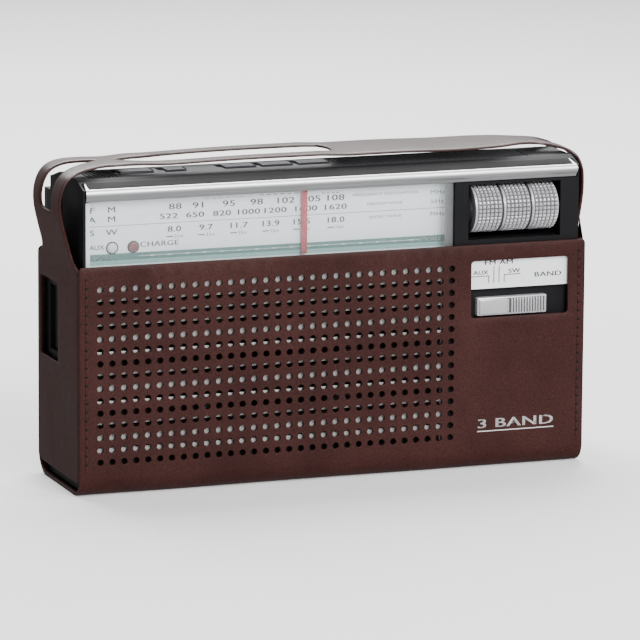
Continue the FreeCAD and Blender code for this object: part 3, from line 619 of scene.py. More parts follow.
def makeWrap():
    (x0, y0, _), (x1, _, top) = span("case_wrap")
    f, r = wrapSet["foldFront"], wrapSet["foldRear"]
    y1 = -y0
    front, under = top - f, y1 - y0 - f - r
    arcF, arcR = f * math.pi / 2, r * math.pi / 2
    length = front + arcF + under + arcR + top - r
    bend = [front + arcF * k / 8 for k in range(9)]
    bend += [front + arcF + under + arcR * k / 9 for k in range(10)]
    rows = [2.5, 5] + [12 + 8 * k for k in range(10)] + bend
    rows += [front + arcF + under * k / 5 for k in range(1, 5)]
    rows += [front + arcF + under + arcR + 8 * k for k in range(1, 11)]
    sides = sorted(s for s in bend + rows if 4 < s < length - 4)
    corners = roundedLoop((x0, 0), (x1, length), wrapSet["corner"])
    outline = []
    for i, point in enumerate(corners):
        outline.append(point)
        after = corners[(i + 1) % len(corners)]
        if abs(after[1] - point[1]) > 50:
            steps = sorted({round(s, 3) for s in sides}, reverse=after[1] < point[1])
            outline += [(point[0], s) for s in steps]
        elif abs(after[0] - point[0]) > 50:
            outline += [(point[0] + (after[0] - point[0]) * k / 30, point[1]) for k in range(1, 30)]
    (bx0, bz0), (bx1, bz1) = bandWindow
    window = roundedLoop((bx0, top - bz1), (bx1, top - bz0), 1.5, True)
    (dx0, _, dz0), (dx1, _, dz1) = span("battery_door")
    backTop = length - top
    side, below, above = (doorWindow[edge] for edge in ("side", "below", "above"))
    door = roundedLoop((dx0 - side, backTop + dz0 - below), (dx1 + side, backTop + dz1 + above), 3.0, True)
    sieve = {"pitch": wrapSet["holePitch"], "radius": wrapSet["holeRadius"], "columns": wrapSet["columns"],
             "rows": wrapSet["rows"], "first": (wrapSet["firstX"], top - wrapSet["topZ"])}
    columns = [x0 + 2.5 + 7.18 * k for k in range(33)]
    border = sieveEdge(sieve)
    fill = spreadPoints(columns, sorted(set(rows)), [outline, window, door, border[::-1]], 1.6)
    cuts = [window, door]
    wrap = cutHide("leatherWrap", outline, cuts, fill, wrapPlace, wrapSet["thick"], leather, sieve)
    setPiece(wrap, home, "brown_leather", "case_wrap")
    print("leather wrap:", len(wrap.data.polygons), "faces")


# ---- strap and side panels, one strip
strapLine = [(-117.5, 94), (-118.6, 104), (-120.9, 113), (-123.0, 122), (-123.0, 130), (-120.2, 136.9),
             (-114.6, 140.7), (-105.0, 142.3), (-90.0, 142.4), (-72.0, 142.0), (-50.0, 142.5),
             (-30.0, 142.75), (5.0, 142.8), (35.0, 142.9), (60.0, 142.5), (80.0, 142.7), (94.0, 142.8),
             (107.0, 141.7), (117.0, 138.4), (121.2, 131.4), (121.5, 122), (119.9, 112), (118.2, 103),
             (117.5, 94)]
strapPlan = [(-126, 19.0), (-113, 18.2), (-102, 13.0), (-95, 11.2), (-87, 13.4), (-72, 15.8), (-12, 16.4),
             (8, 16.8), (28, 17.0), (66, 17.0), (82, 15.8), (94, 11.0), (102, 8.6), (109, 12.0), (117, 17.6),
             (126, 19.0)]
strapSides = [(6, 27.0), (8, 28.1), (10, 28.5), (98.6, 28.5), (99.8, 27.6), (100.9, 23.4), (102.6, 20.8),
              (105.5, 19.5), (122, 19.0)]
legHoles = [8.0, 8.0, 7.8, 7.6, 6.4, 3.6, 0.8]   # half widths of a leg's hole, from its foot up
slotShares = (0.14, 0.62, 0.85, 0.96, 1, 1, 1, 1, 1, 1, 0.98, 0.92)
socketHole = (1.0, 54.0), (26.0, 89.0)   # lowest and highest y and z of the hole over the sockets
strapSet = {"foot": 6.0, "thick": 1.25, "sideThick": 1.4, "step": 1.6, "crown": 0.35, "curl": 0.25,
            "curlReach": 1.2, "slot": 9.2, "lift": 0.35}


def smoothLine(points, step):
    # cubic run through the points, straight up at both ends
    points = [Vector(p) for p in points]
    slopes = [(points[min(i + 1, len(points) - 1)] - points[max(i - 1, 0)]) / 2 for i in range(len(points))]
    slopes[0], slopes[-1] = Vector((0, 9)), Vector((0, -9))
    line = []
    for i in range(len(points) - 1):
        a, b, da, db = points[i], points[i + 1], slopes[i], slopes[i + 1]
        count = max(3, round((b - a).length / step))
        for k in range(count):
            t = k / count
            line.append(a * (2 * t**3 - 3 * t**2 + 1) + da * (t**3 - 2 * t**2 + t)
                        + b * (3 * t**2 - 2 * t**3) + db * (t**3 - t**2))
    return line + [points[-1]]


def makeStrap():
    foot = strapSet["foot"]
    levels = [foot + 2.2 * k for k in range(40)]
    rise = [Vector((strapLine[0][0], level)) for level in levels]
    fall = [Vector((strapLine[-1][0], level)) for level in levels[::-1]]
    line = rise + smoothLine(strapLine, strapSet["step"]) + fall
    along = [0.0]
    for a, b in zip(line, line[1:]):
        along.append(along[-1] + (b - a).length)
    out = []
    for i in range(len(line)):
        run = (line[min(i + 1, len(line) - 1)] - line[max(i - 1, 0)]).normalized()
        out.append(Vector((-run.y, run.x)))
    widths = []
    for p in line:
        side = np.interp(p.y, *zip(*strapSides))
        plan = np.interp(p.x, *zip(*strapPlan))
        widths.append(side if p.y < strapSides[-1][0] else plan)
    smoothed = [widths[i] if line[i].y < 112 else sum(widths[i - 3:i + 4]) / 7 for i in range(len(widths))]
    ts = np.array(along)
    xs, zs = np.array([p.x for p in line]), np.array([p.y for p in line])
    nx, nz = np.array([n.x for n in out]), np.array([n.y for n in out])
    crest = along[int(np.argmax(zs))]

    def tAt(x, z, left):
        # distance along the strap of its point nearest x, z, on the left or right of the crest
        near = [(abs(xs[i] - x) + abs(zs[i] - z), ts[i]) for i in range(len(ts)) if (ts[i] < crest) == left]
        return min(near)[1]

    def slotLoop(start, end, halves, round0, round1):
        # halves: half widths at even spacing; the ends are rounded over the given lengths
        ring = []
        ends = [0.02, 0.08, 0.18, 0.32, 0.5, 0.72]
        stations = [start + (end - start) * k / 40 for k in range(41)]
        stations += [start + round0 * r for r in ends] + [end - round1 * r for r in ends]
        stations = sorted(t for t in stations if start <= t <= end)
        table = np.linspace(start, end, len(halves))
        for t in stations:
            h = np.interp(t, table, halves)
            for edge, reach in ((start, round0), (end, round1)):
                d = abs(t - edge)
                if d < reach:
                    h *= math.sqrt(max(0.0, 1 - (1 - d / reach) ** 2))
            ring.append((t, h))
        upper = [(t, h) for t, h in ring if h > 0.15]
        first, last = (start, 0.0), (end, 0.0)
        return [first] + upper + [last] + [(t, -h) for t, h in upper[::-1]]

    longStart, longEnd = tAt(-91, 142.4, True), tAt(7, 142.8, True)
    slots = [
        slotLoop(tAt(-123, 121.5, True), tAt(-101, 142.8, True), legHoles, 2.2, 3.0),
        slotLoop(longStart, longEnd, [strapSet["slot"] * share for share in slotShares], 5.0, 3.0),
        slotLoop(tAt(105, 142.5, False), tAt(121.5, 121.5, False), legHoles[::-1], 3.0, 2.2)]
    (wy0, wz0), (wy1, wz1) = socketHole
    socketWindow = roundedLoop((wz0 - foot, wy0), (wz1 - foot, wy1), 2.0, True)
    outline = [(t, -w) for t, w in zip(along, smoothed)]
    outline += [(t, w) for t, w in zip(along[::-1], smoothed[::-1])]

    def lay(t, y, depth):
        x, z = np.interp(t, ts, xs), np.interp(t, ts, zs)
        ox, oz = np.interp(t, ts, nx), np.interp(t, ts, nz)
        w = np.interp(t, ts, smoothed)
        top = min(1.0, max(0.0, (z - 112) / 20))
        thick = strapSet["sideThick"] + (strapSet["thick"] - strapSet["sideThick"]) * top
        lift = -strapSet["crown"] * top * (y / w) ** 2
        inSlot = min(t - longStart, longEnd - t)
        if inSlot > -3:
            gap = abs(abs(y) - strapSet["slot"])
            share = min(1, (inSlot + 3) / 12)
            lift += strapSet["curl"] * math.exp(-(gap / strapSet["curlReach"]) ** 2) * share
            lift += (strapSet["crown"] + strapSet["lift"]) * share * (y / w) ** 2
        if z < 100:
            lift += 0.3 * max(0.0, noise.noise(Vector((t * 0.03, y * 0.05, x))))
        lift -= depth * thick   # depth runs from 0 at the face to 1 at the back
        return x + ox * lift, y, z + oz * lift

    rows = [-28 + 2.6 * k for k in range(22)]
    holes = [loop if area(loop) < 0 else loop[::-1] for loop in slots + [socketWindow]]
    fill = spreadPoints(along[1:-1], rows, [outline] + holes, 0.9)
    strap = cutHide("leatherStrap", outline, holes, fill, lay, 1.0, strapLeather)
    setPiece(strap, home, "brown_leather", "case_strap")
    print("strap:", len(strap.data.polygons), "faces")


def area(loop):
    return sum(ax * by - bx * ay for (ax, ay), (bx, by) in zip(loop, loop[1:] + loop[:1])) / 2


# ---- print and lettering
def letters(words, x, z, height, wide=1.25, bold=0.0):
    # flat outline letters centred on x, z; the made points are in millimetres
    curve = bpy.data.curves.new("letters", "FONT")
    curve.body = words
    curve.align_x = "CENTER"
    curve.align_y = "CENTER"
    curve.size = height / 0.7
    curve.resolution_u = 3
    curve.space_character = 1.06
    thing = bpy.data.objects.new("letters", curve)
    bpy.context.scene.collection.objects.link(thing)
    shape = thing.evaluated_get(bpy.context.evaluated_depsgraph_get())
    mesh = bpy.data.meshes.new_from_object(shape)
    spots = [v.co.copy() for v in mesh.vertices]
    faces = [tuple(p.vertices) for p in mesh.polygons]
    bpy.data.objects.remove(thing)
    bpy.data.curves.remove(curve)
    bpy.data.meshes.remove(mesh)
    if not spots:
        return [], []
    tall = [p.y for p in spots]
    middle = (min(tall) + max(tall)) / 2
    flat, many = [], []
    for shift in ((-bold, 0, bold) if bold else (0,)):
        many += [tuple(len(flat) + i for i in face) for face in faces]
        flat += [(x + p.x * wide + shift, z + p.y - middle) for p in spots]
    return flat, many


def printPlane(name, marks, y, slot, rise=0.05):
    # marks: (finish, [(points in x and z, faces)]) on one plane that faces front, given a little height
    points, faces, slots, finishList = [], [], [], []
    for finish, parts in marks:
        finishList.append(finish)
        for shape, polygons in parts:
            start = len(points)
            points += [(x, y - rise, z) for x, z in shape]
            faces += [tuple(start + i for i in p) for p in polygons]
            slots += [len(finishList) - 1] * len(polygons)
    mesh = bpy.data.meshes.new(name)
    mesh.from_pydata([tuple(c * mm for c in p) for p in points], [], faces)
    for finish in finishList:
        mesh.materials.append(finish)
    mesh.polygons.foreach_set("material_index", slots)
    thing = bpy.data.objects.new(name, mesh)
    bpy.context.scene.collection.objects.link(thing)
    work = bmesh.new()
    work.from_mesh(mesh)
    for face in work.faces:
        if face.normal.y > 0:
            face.normal_flip()
    work.to_mesh(mesh)
    work.free()
    return setPiece(thing, home, slot)


def patch(x0, z0, x1, z1):
    return [(x0, z0), (x1, z0), (x1, z1), (x0, z1)], [(0, 1, 2, 3)]


dialRows = {
    "FM": {"z": 124.2, "size": 2.55, "at": [("88", -71.4), ("91", -60.6), ("95", -46.9), ("98", -34.2),
                                            ("102", -21.2), ("105", -9.1), ("108", 1.9)]},
    "AM": {"z": 120.1, "size": 2.35, "at": [("522", -74.4), ("650", -62.4), ("820", -50.1), ("1000", -38.2),
                                            ("1200", -26.0), ("1400", -11.8), ("1620", 1.9)]},
    "SW": {"z": 114.4, "size": 2.45, "at": [("8.0", -71.8), ("9.7", -57.4), ("11.7", -42.7), ("13.9", -28.0),
                                            ("15.5", -13.7), ("18.0", 2.1)]},
}
dialWords = [("FREQUENCY MODULATION", 25.6, 124.6, 1.25), ("MEDIUM WAVE", 25.2, 120.4, 1.25),
             ("SHORT WAVE", 25.5, 114.6, 1.25), ("MHz", 50.0, 124.2, 1.9), ("kHz", 50.0, 120.1, 1.9),
             ("MHz", 50.0, 114.5, 1.9)]
shortBands = ("31m", "31m", "25m", "22m", "19m", "16m")
dialBands = {"teal": (102.0, 105.0), "pale": (100.2, 102.0), "white": (98.9, 100.2), "thread": 117.1}


def makeDial():
    (x0, y0, _), (x1, _, _) = span("dial_plate")
    left, right = x0 + 0.1, x1 - 0.1
    dark = []
    for name, row in dialRows.items():
        for i, letter in enumerate(name):
            dark.append(letters(letter, (-109.0, -100.2)[i], row["z"], 2.5, 1.4, 0.06))
        for words, x in row["at"]:
            dark.append(letters(words, x, row["z"], row["size"], 1.4 if "." in words else 1.62, 0.1))
    for band, (_, x) in zip(shortBands, dialRows["SW"]["at"]):
        dark.append(patch(x - 3.6, 110.9, x - 0.5, 111.35))
        dark.append(letters(band, x + 2.0, 111.15, 1.5, 1.05))
    for words, x, z, size in dialWords:
        dark.append(letters(words, x, z, size, 1.3))
    dark.append(letters("AUX", -106.9, 108.0, 2.1, 1.05, 0.05))
    dark.append(letters("CHARGE", -78.6, 108.4, 2.2, 1.38, 0.06))
    dark.append(patch(left, dialBands["thread"] - 0.1, right, dialBands["thread"] + 0.1))
    teal, pale, white = ([patch(left, dialBands[band][0], right, dialBands[band][1])]
                         for band in ("teal", "pale", "white"))
    fine = [letters("SCALE", -104.4, 103.4, 1.5, 1.3, 0.05), letters("SCALE", 47.7, 103.4, 1.5, 1.3, 0.05),
            patch(-88.0, 103.35, 42.0, 103.5)]
    for k in range(16):
        x = -82.0 + 8.0 * k
        fine.append(patch(x - 0.8, 103.2, x + 0.8, 103.7))
        fine += [patch(x + 1.6 + 1.6 * j, 103.45, x + 1.75 + 1.6 * j, 103.95) for j in range(4)]
    gold = [patch(-58.0 + 3.2 * k, 126.75, -56.0 + 3.2 * k, 127.0) for k in range(6)]
    dark += [patch(-33.0 + 3.2 * k, 126.95, -31.0 + 3.2 * k, 127.25) for k in range(6)]
    dark += [patch(-4.0 + 2.2 * k, 126.2, -2.8 + 2.2 * k, 126.5) for k in range(4)]
    marks = [(inkDark, dark), (inkTeal, teal), (inkPale, pale), (inkWhite, white), (inkGold, gold)]
    printPlane("dialPrint", marks, y0, "silver_print")
    printPlane("dialTicks", [(inkWhite, fine)], y0 - 0.05, "silver_print")
    rings = []
    for node, outer, inner in (("status_lamp", 2.85, 2.15), ("charge_lamp", 2.75, 2.15)):
        (lx0, _, lz0), (lx1, _, lz1) = span(node)
        cx, cz = (lx0 + lx1) / 2, (lz0 + lz1) / 2
        rings.append((inkDark, [ringPatch(cx, cz, outer, inner)]))
    printPlane("lampRing", rings, y0, "silver_print")
    print("dial print done")


def ringPatch(cx, cz, outer, inner):
    spots, faces, count = [], [], 40
    for k in range(count):
        angle = 2 * math.pi * k / count
        for r in (outer, inner):
            spots.append((cx + r * math.cos(angle), cz + r * math.sin(angle)))
        faces.append((2 * k, (2 * k + 2) % (2 * count), (2 * k + 3) % (2 * count), 2 * k + 1))
    return spots, faces


def makeLamps():
    # domed lenses over the two lamp bodies
    for node, finish, slot in (("status_lamp", finishes["clear_lens"], "clear_lens"),
                               ("charge_lamp", lampRed, "red_lens")):
        (x0, y0, z0), (x1, y1, z1) = span(node)
        cx, cz, r = (x0 + x1) / 2, (z0 + z1) / 2, (x1 - x0) / 2
        profile = [(0.0, y0 - 0.35), (r * 0.35, y0 - 0.3), (r * 0.7, y0 - 0.12), (r * 0.92, y0 + 0.15),
                   (r, y0 + 0.5), (r, y1)]
        lens = spinPiece(node + "Lens", profile, (cx, 0, cz), finish)
        setPiece(lens, home, slot, node)


def spinPiece(name, profile, centre, finish, count=48, axis="Y"):
    # profile: (radius, place along the axis) from one end to the other
    points, faces = [], []
    for r, t in profile:
        for k in range(count):
            angle = 2 * math.pi * k / count
            a, b = r * math.cos(angle), r * math.sin(angle)
            points.append({"Y": (centre[0] + a, t, centre[2] + b), "X": (t, centre[1] + a, centre[2] + b),
                           "Z": (centre[0] + a, centre[1] + b, t)}[axis])
    for j in range(len(profile) - 1):
        for k in range(count):
            n = (k + 1) % count
            faces.append((j * count + k, j * count + n, (j + 1) * count + n, (j + 1) * count + k))
    faces.append(tuple(range((len(profile) - 1) * count, len(profile) * count)))
    if profile[0][0] > 1e-6:
        faces.append(tuple(range(count))[::-1])
    return addMesh(name, points, faces, finish, 38.0)


labelSet = {"rise": 0.04}


def makeBandLabel():
    y0 = span("band_label")[0][1]
    dark = [letters("FM AM", 76.8, 92.5, 2.1, 1.5, 0.08), letters("AUX", 68.3, 88.2, 1.9, 1.2, 0.08),
            letters("SW", 84.2, 88.3, 1.9, 1.35, 0.08), letters("BAND", 100.3, 86.0, 2.1, 1.55, 0.08)]
    for x, top, reach in ((72.1, 86.7, -8.0), (74.55, 90.8, 0), (77.0, 90.8, 0), (79.45, 86.9, 7.6)):
        dark.append(patch(x - 0.2, 83.4, x + 0.2, top))
        if reach:
            dark.append(patch(min(x, x + reach) - 0.16, top - 0.35, max(x, x + reach) + 0.16, top))
    printPlane("bandPrint", [(inkDark, dark)], y0, "silver_print", rise=labelSet["rise"])


def makeFrontMark():
    # generic foil wording on the leather, lower right
    shape, faces = letters("3 BAND", 85.0, 20.6, 4.1, 1.7, 0.15)
    start = len(shape)
    shape += [(66.8 + 36.5 * k / 20, z) for k in range(21) for z in (16.9, 17.35)]
    faces += [(start + 2 * k, start + 2 * k + 2, start + 2 * k + 3, start + 2 * k + 1) for k in range(20)]
    top = span("case_wrap")[1][2]
    points = [wrapPlace(x, top - z, -0.05) for x, z in shape]
    thing = addMesh("foilMark", points, faces, inkSilver)
    for face in thing.data.polygons:
        if face.normal.y > 0:
            face.flip()
    setPiece(thing, home, "silver_print")


# ---- stitches, by Geometry Nodes
stitchSet = {"pitch": 3.8, "long": 3.0, "thick": 0.7, "hole": 1.35, "inset": 3.1, "low": 13.0, "high": 96.0}


def nodeGroup(name, *inputs):
    tree = bpy.data.node_groups.new(name, "GeometryNodeTree")
    tree.interface.new_socket("Geometry", in_out="INPUT", socket_type="NodeSocketGeometry")
    for label, kind, value in inputs:
        socket = tree.interface.new_socket(label, in_out="INPUT", socket_type=kind)
        socket.default_value = value
    tree.interface.new_socket("Geometry", in_out="OUTPUT", socket_type="NodeSocketGeometry")
    begin = tree.nodes.new("NodeGroupInput")
    return tree, Wire(tree), {s.name: Wire(tree, s) for s in begin.outputs if s.name}


def closeGroup(tree, g, result, finish=None):
    solid = g.node("GeometryNodeRealizeInstances", {}, {"Geometry": result})
    if finish:
        solid = g.node("GeometryNodeSetMaterial", {}, {"Geometry": solid, "Material": finish})
    end = tree.nodes.new("NodeGroupOutput")
    tree.links.new(solid.socket, end.inputs[0])


def growMesh(name, start, tree, values):
    # runs the group once on the start object and keeps the plain mesh
    modifier = start.modifiers.new("grow", "NODES")
    modifier.node_group = tree
    for socket in tree.interface.items_tree:
        if socket.in_out == "INPUT" and socket.name in values:
            modifier[socket.identifier] = values[socket.name]
    shape = start.evaluated_get(bpy.context.evaluated_depsgraph_get())
    mesh = bpy.data.meshes.new_from_object(shape)
    mesh.name = name
    bpy.data.objects.remove(start)
    thing = bpy.data.objects.new(name, mesh)
    bpy.context.scene.collection.objects.link(thing)
    mesh.polygons.foreach_set("use_smooth", [True] * len(mesh.polygons))
    mesh.set_sharp_from_angle(angle=math.radians(35))
    return thing


def emptyMesh(points=(), edges=()):
    mesh = bpy.data.meshes.new("seed")
    mesh.from_pydata([tuple(c * mm for c in p) for p in points], list(edges), [])
    thing = bpy.data.objects.new("seed", mesh)
    bpy.context.scene.collection.objects.link(thing)
    return thing


def makeStitches():
    (x0, _, _), (x1, _, top) = span("case_wrap")
    points, edges = [], []
    rise = stitchSet["high"] - stitchSet["low"]
    for x in (x0 + stitchSet["inset"], x1 - stitchSet["inset"]):
        for first, way in ((top - stitchSet["low"], -1), (wrapLength() - top + stitchSet["low"] + 2, 1)):
            for k in range(22):
                if k:
                    edges.append((len(points) - 1, len(points)))
                points.append(wrapPlace(x, first + way * (rise - 2) * k / 21, -0.02))
    seed = emptyMesh(points, edges)
    tree, g, given = nodeGroup("stitchRun", ("Pitch", "NodeSocketFloat", 0.004),
                               ("Long", "NodeSocketFloat", 0.003),
                               ("Thick", "NodeSocketFloat", 0.0006), ("Hole", "NodeSocketFloat", 0.0006))
    path = g.node("GeometryNodeMeshToCurve", {}, {"Mesh": given["Geometry"]})
    spots = g.node("GeometryNodeCurveToPoints", {"mode": "LENGTH"},
                   {"Curve": path, "Length": given["Pitch"]})
    bead = g.node("GeometryNodeMeshUVSphere", {}, {"Segments": 10, "Rings": 7, "Radius": 0.5})
    size = g.node("ShaderNodeCombineXYZ", {},
                  {0: given["Thick"] * 1.5, 1: given["Thick"], 2: given["Long"]})
    placed = g.node("GeometryNodeInstanceOnPoints", {}, {"Points": spots, "Instance": bead, "Scale": size})
    thread = g.node("GeometryNodeSetMaterial", {}, {"Geometry": placed, "Material": threadBrown})
    lift = g.node("ShaderNodeCombineXYZ", {}, {2: given["Pitch"] * 0.5})
    between = g.node("GeometryNodeSetPosition", {}, {"Geometry": spots, "Offset": lift})
    # dark beads between the stitches: painted shade standing in for the prick holes
    dot = g.node("ShaderNodeCombineXYZ", {}, {0: given["Hole"], 1: given["Thick"] * 0.7, 2: given["Hole"]})
    pricks = g.node("GeometryNodeInstanceOnPoints", {}, {"Points": between, "Instance": bead, "Scale": dot})
    dark = g.node("GeometryNodeSetMaterial", {}, {"Geometry": pricks, "Material": flagAndPaintedHoleShade})
    both = g.tree.nodes.new("GeometryNodeJoinGeometry")
    for part in (dark, thread):
        g.tree.links.new(part.socket, both.inputs[0])
    closeGroup(tree, g, Wire(tree, both.outputs[0]))
    sizes = {name: stitchSet[name.lower()] * mm for name in ("Pitch", "Long", "Thick", "Hole")}
    stitches = growMesh("edgeStitches", seed, tree, sizes)
    setPiece(stitches, home, "brown_leather")
    print("stitches:", len(stitches.data.polygons))


# ---- knurled wheels
wheelSet = {"rows": 36, "columns": 6, "rim": 1.35, "stud": 0.75, "hub": 6.2, "edge": 0.35}


def makeWheel(node):
    (x0, y0, z0), (x1, y1, z1) = span(node)
    cy, cz, r = (y0 + y1) / 2, (z0 + z1) / 2, (z1 - z0) / 2
    base = r - wheelSet["stud"]
    rimEnd = x0 + wheelSet["rim"]
    e = wheelSet["edge"]
    hub = wheelSet["hub"]
    profile = [(2.15, x0 + 0.6), (hub, x0 + 0.6), (hub + 0.4, x0 + 0.15), (r - e - 0.3, x0),
               (r - 0.1, x0 + e), (r - 0.05, rimEnd - 0.3), (r - 0.25, rimEnd), (base, rimEnd + 0.1),
               (base, x1 - 0.45), (base - 0.35, x1), (base - 1.6, x1), (base - 1.8, x1 - 0.3),
               (base - 1.8, x0 + 2.0), (3.4, x0 + 2.0), (3.4, x1 - 0.2), (2.15, x1 - 0.2)]
    drum = spinPiece("drum", profile, (0, cy, cz), finishes["bright_plastic"], 102, "X")
    studs, faces = [], []
    first, last = rimEnd + 0.22, x1 - 0.35
    wide = (last - first) / wheelSet["columns"]
    turn = 2 * math.pi / wheelSet["rows"]
    for i in range(wheelSet["columns"]):
        for k in range(wheelSet["rows"]):
            middle = k * turn
            start = len(studs)
            for rise, share in ((-0.05, 0.42), (wheelSet["stud"] * 0.7, 0.34), (wheelSet["stud"], 0.20)):
                for sx, sa in ((-1, -1), (1, -1), (1, 1), (-1, 1)):
                    angle = middle + sa * share * turn * 0.96
                    reach = base + rise
                    studs.append((first + wide * (i + 0.5 + sx * share * 0.96), cy + reach * math.cos(angle),
                                  cz + reach * math.sin(angle)))
            for level in (0, 4):
                for c in range(4):
                    n = (c + 1) % 4
                    low, high = start + level, start + level + 4
                    faces.append((low + c, low + n, high + n, high + c))
            faces.append((start + 8, start + 9, start + 10, start + 11))
            faces.append((start + 3, start + 2, start + 1, start))
    # the drum's ground between the studs, and its outer end face, take the dark grey: painted shade
    drum.data.materials.append(gripBase)
    for face in drum.data.polygons:
        if rimEnd + 0.05 < face.center.x / mm < x1 - 0.4 or face.center.x / mm < x0 + 0.2:
            face.material_index = 1
    grips = addMesh("grips", studs, faces, finishes["bright_plastic"], 20.0)
    wheel = joinPieces(node.split("_")[0] + "Knurl", [drum, grips])
    setPiece(wheel, node, "bright_plastic", node)
    print(wheel.name, len(wheel.data.polygons))


# ---- diamond mesh panel
meshSet = {"wide": 3.4, "deep": 2.3, "bar": 0.62, "tall": 0.75}


def makeMeshPanel():
    (x0, y0, z0), (x1, y1, z1) = span("mesh_panel")
    tree, g, given = nodeGroup("diamondMesh", ("Bar", "NodeSocketFloat", 0.0006),
                               ("Tall", "NodeSocketFloat", 0.0008))
    points, edges = [], []
    run, depth = meshSet["wide"], meshSet["deep"]
    z = z1 - meshSet["tall"] * 0.45
    slope = depth / run
    low, high = Vector((x0 + 0.7, y0 + 0.7)), Vector((x1 - 0.7, y1 - 0.7))
    for sign in (1, -1):
        reach = (high.y - low.y) / slope
        count = int((high.x - low.x + reach) / run) + 2
        for k in range(count):
            base = low.x - reach + run * k if sign > 0 else low.x + run * k
            ends = []
            for y in (low.y, high.y):
                x = base + (y - low.y) / slope * sign
                ends.append((x, y))
            (ax, ay), (bx, by) = ends
            lowT = max(0.0, min((low.x - ax) / (bx - ax), (high.x - ax) / (bx - ax)))
            highT = min(1.0, max((low.x - ax) / (bx - ax), (high.x - ax) / (bx - ax)))
            if highT - lowT < 0.05:
                continue
            points += [(ax + (bx - ax) * t, ay + (by - ay) * t, z) for t in (lowT, highT)]
            edges.append((len(points) - 2, len(points) - 1))
    seed = emptyMesh(points, edges)
    path = g.node("GeometryNodeMeshToCurve", {}, {"Mesh": given["Geometry"]})
    square = g.node("GeometryNodeCurvePrimitiveQuadrilateral", {},
                    {"Width": given["Tall"], "Height": given["Bar"]})
    bars = g.node("GeometryNodeCurveToMesh", {}, {"Curve": path, "Profile Curve": square, "Fill Caps": True})
    closeGroup(tree, g, bars, finishes["mesh"])
    weave = growMesh("diamondPanel", seed, tree, {"Bar": meshSet["bar"] * mm, "Tall": meshSet["tall"] * mm})
    rim = []
    for low2, high2 in (((x0, y0), (x1, y0 + 1.1)), ((x0, y1 - 1.1), (x1, y1)), ((x0, y0), (x0 + 1.1, y1)),
                        ((x1 - 1.1, y0), (x1, y1))):
        rim.append(softBox("rim", (*low2, z0), (*high2, z1), finishes["mesh"], 0.2, 2))
    panel = joinPieces("diamondPanel", [weave] + rim)
    setPiece(panel, home, "mesh", "mesh_panel")
    print("mesh panel:", len(panel.data.polygons))


# ---- black lip over the trim's top flange, and the pale ledge behind the pane's left edge
lipSet = {"front": (-27.35, 134.42), "rear": (-21.7, 136.14), "low": 0.3, "end": 1.6}


def makeLips():
    (x0, _, _), (x1, _, _) = span("trim_bar")
    (fy, fz), (ry, rz) = lipSet["front"], lipSet["rear"]
    low = lipSet["low"]
    profile = [(fy, fz - low), (fy, fz - 0.06), (fy + 0.12, fz + 0.02), (ry, rz), (ry, rz - low)]
    points, faces = [], []
    n = len(profile)
    for x in (x0 + lipSet["end"], x1 - lipSet["end"]):
        points += [(x, y, z) for y, z in profile]
    faces = [(k, (k + 1) % n, (k + 1) % n + n, k + n) for k in range(n)]
    faces += [tuple(range(n)), tuple(range(n, 2 * n))[::-1]]
    lip = addMesh("topLip", points, faces, lipBlack, 20.0)
    setPiece(lip, home, "black_plastic")
    (px0, _, pz0), (_, py1, pz1) = span("dial_window")
    plateLeft = span("dial_plate")[0][0]
    ledge = softBox("paleLedge", (px0 + 0.25, py1 + 0.02, pz0 + 1.2), (plateLeft + 0.3, py1 + 0.3, pz1 - 0.6),
                    finishes["silver_print"], 0.05, 1)
    setPiece(ledge, home, "silver_print")


# ---- bright slats behind the punched holes
slatSet = {"half": 1.62, "deep": 1.2, "first": (91.0, 87.1, 81.8, 76.4), "pitch": 7.2, "count": 7,
           "last": 19.8}


def makeSlats():
    (x0, y0, z0), (x1, y1, z1) = span("speaker_grille")
    rows = list(slatSet["first"])
    rows += [rows[-1] - slatSet["pitch"] * (k + 1) for k in range(slatSet["count"])] + [slatSet["last"]]
    half, deep = slatSet["half"], y0 + slatSet["deep"]
    bars = [softBox("bar", (x0, y0 + 0.05, z - half), (x1, deep, z + half), slatSilver, 0.35, 3)
            for z in rows]
    for x in (x0, x1 - 2.0):
        bars.append(softBox("bar", (x, y0 + 0.6, z0), (x + 2.0, y1, z1), slatSilver, 0.2, 1))
    setPiece(joinPieces("grilleSlats", bars), home, "bright_trim", "speaker_grille")


# ---- band slider
sliderSet = {"pad": 13.6, "ribFirst": 16.0, "ribPitch": 1.3, "ribs": 12, "ribWide": 0.72, "low": 0.75}


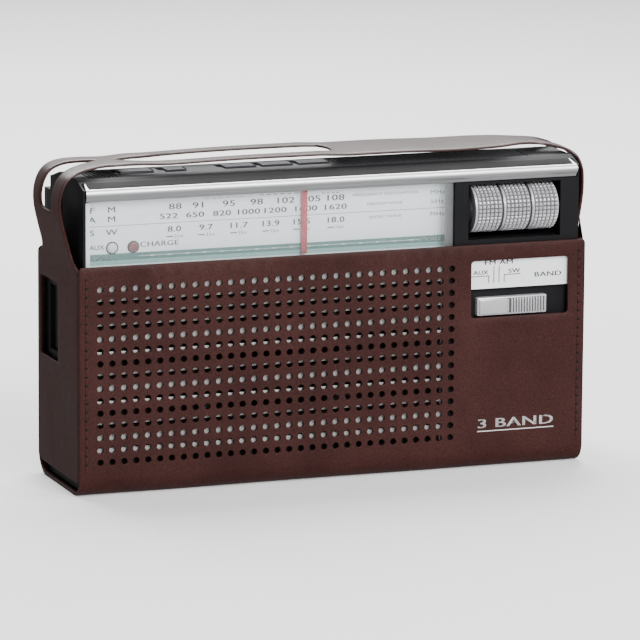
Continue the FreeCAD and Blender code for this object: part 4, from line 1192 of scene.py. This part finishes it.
def makeSlider():
    (x0, y0, z0), (x1, y1, z1) = span("band_slider")
    face = y0 + sliderSet["low"]
    back = face + 0.3
    padEnd = x0 + sliderSet["pad"]
    bright = finishes["bright_plastic"]
    parts = [softBox("block", (x0, face, z0 + 0.2), (x1, y1, z1 - 0.2), bright, 0.5, 3),
             softBox("pad", (x0 + 0.9, y0 + 0.1, z0 + 1.0), (padEnd, face + 0.4, z1 - 1.0), bright, 0.3, 3),
             # the ground between the ribs is the dark grey: painted shade between the ribs
             softBox("ground", (padEnd + 0.7, face - 0.03, z0 + 1.0), (x1 - 1.0, back, z1 - 1.0),
                     gripBase, 0.02, 1),
             softBox("stop", (padEnd + 0.6, face - 0.3, z0 + 1.4), (padEnd + 1.4, back, z1 - 1.4),
                     bright, 0.15, 2)]
    for k in range(sliderSet["ribs"]):
        x = x0 + sliderSet["ribFirst"] + sliderSet["ribPitch"] * k
        parts.append(softBox("rib", (x, y0 + 0.1, z0 + 1.1), (x + sliderSet["ribWide"], back, z1 - 1.1),
                             bright, 0.2, 2))
    setPiece(joinPieces("sliderCap", parts), "band_slider", "bright_plastic", "band_slider")


# ---- clear pane over the dial
paneSet = {"bevel": 4.6, "drop": 1.6}


def makePane():
    (x0, y0, z0), (x1, y1, z1) = span("dial_window")
    bevel, drop = paneSet["bevel"], paneSet["drop"]
    low = 0.45
    profile = [(x0, y1), (x0, y0 + low), (x0 + low, y0), (x1 - bevel, y0), (x1, y0 + drop), (x1, y1)]
    points = [(x, y, z) for z in (z0, z1) for x, y in profile]
    n = len(profile)
    faces = [(k, (k + 1) % n, (k + 1) % n + n, k + n) for k in range(n)]
    faces += [tuple(range(n))[::-1], tuple(range(n, 2 * n))]
    slots = [1 if k == 3 else 0 for k in range(n)] + [0, 0]
    pane = addMesh("dialPane", points, faces, [finishes["clear_window"], edgeClear], 20.0, slots)
    setPiece(pane, home, "clear_window", "dial_window")


# the bevel face lets through only a dark grey share: painted shade for the thick clear bevel
edgeClear = clearFinish("paneBevel", (0.22, 0.23, 0.25), 0.1, 0.14)

makeCamera()
makeStage()
dressCad()
makeWrap()
makeStrap()
makeStitches()
makeDial()
makeLamps()
makeBandLabel()
makeFrontMark()
makePane()
makeLips()
makeSlats()
makeSlider()
for wheel in ("tone_wheel", "volume_wheel", "tuning_wheel"):
    makeWheel(wheel)
makeMeshPanel()
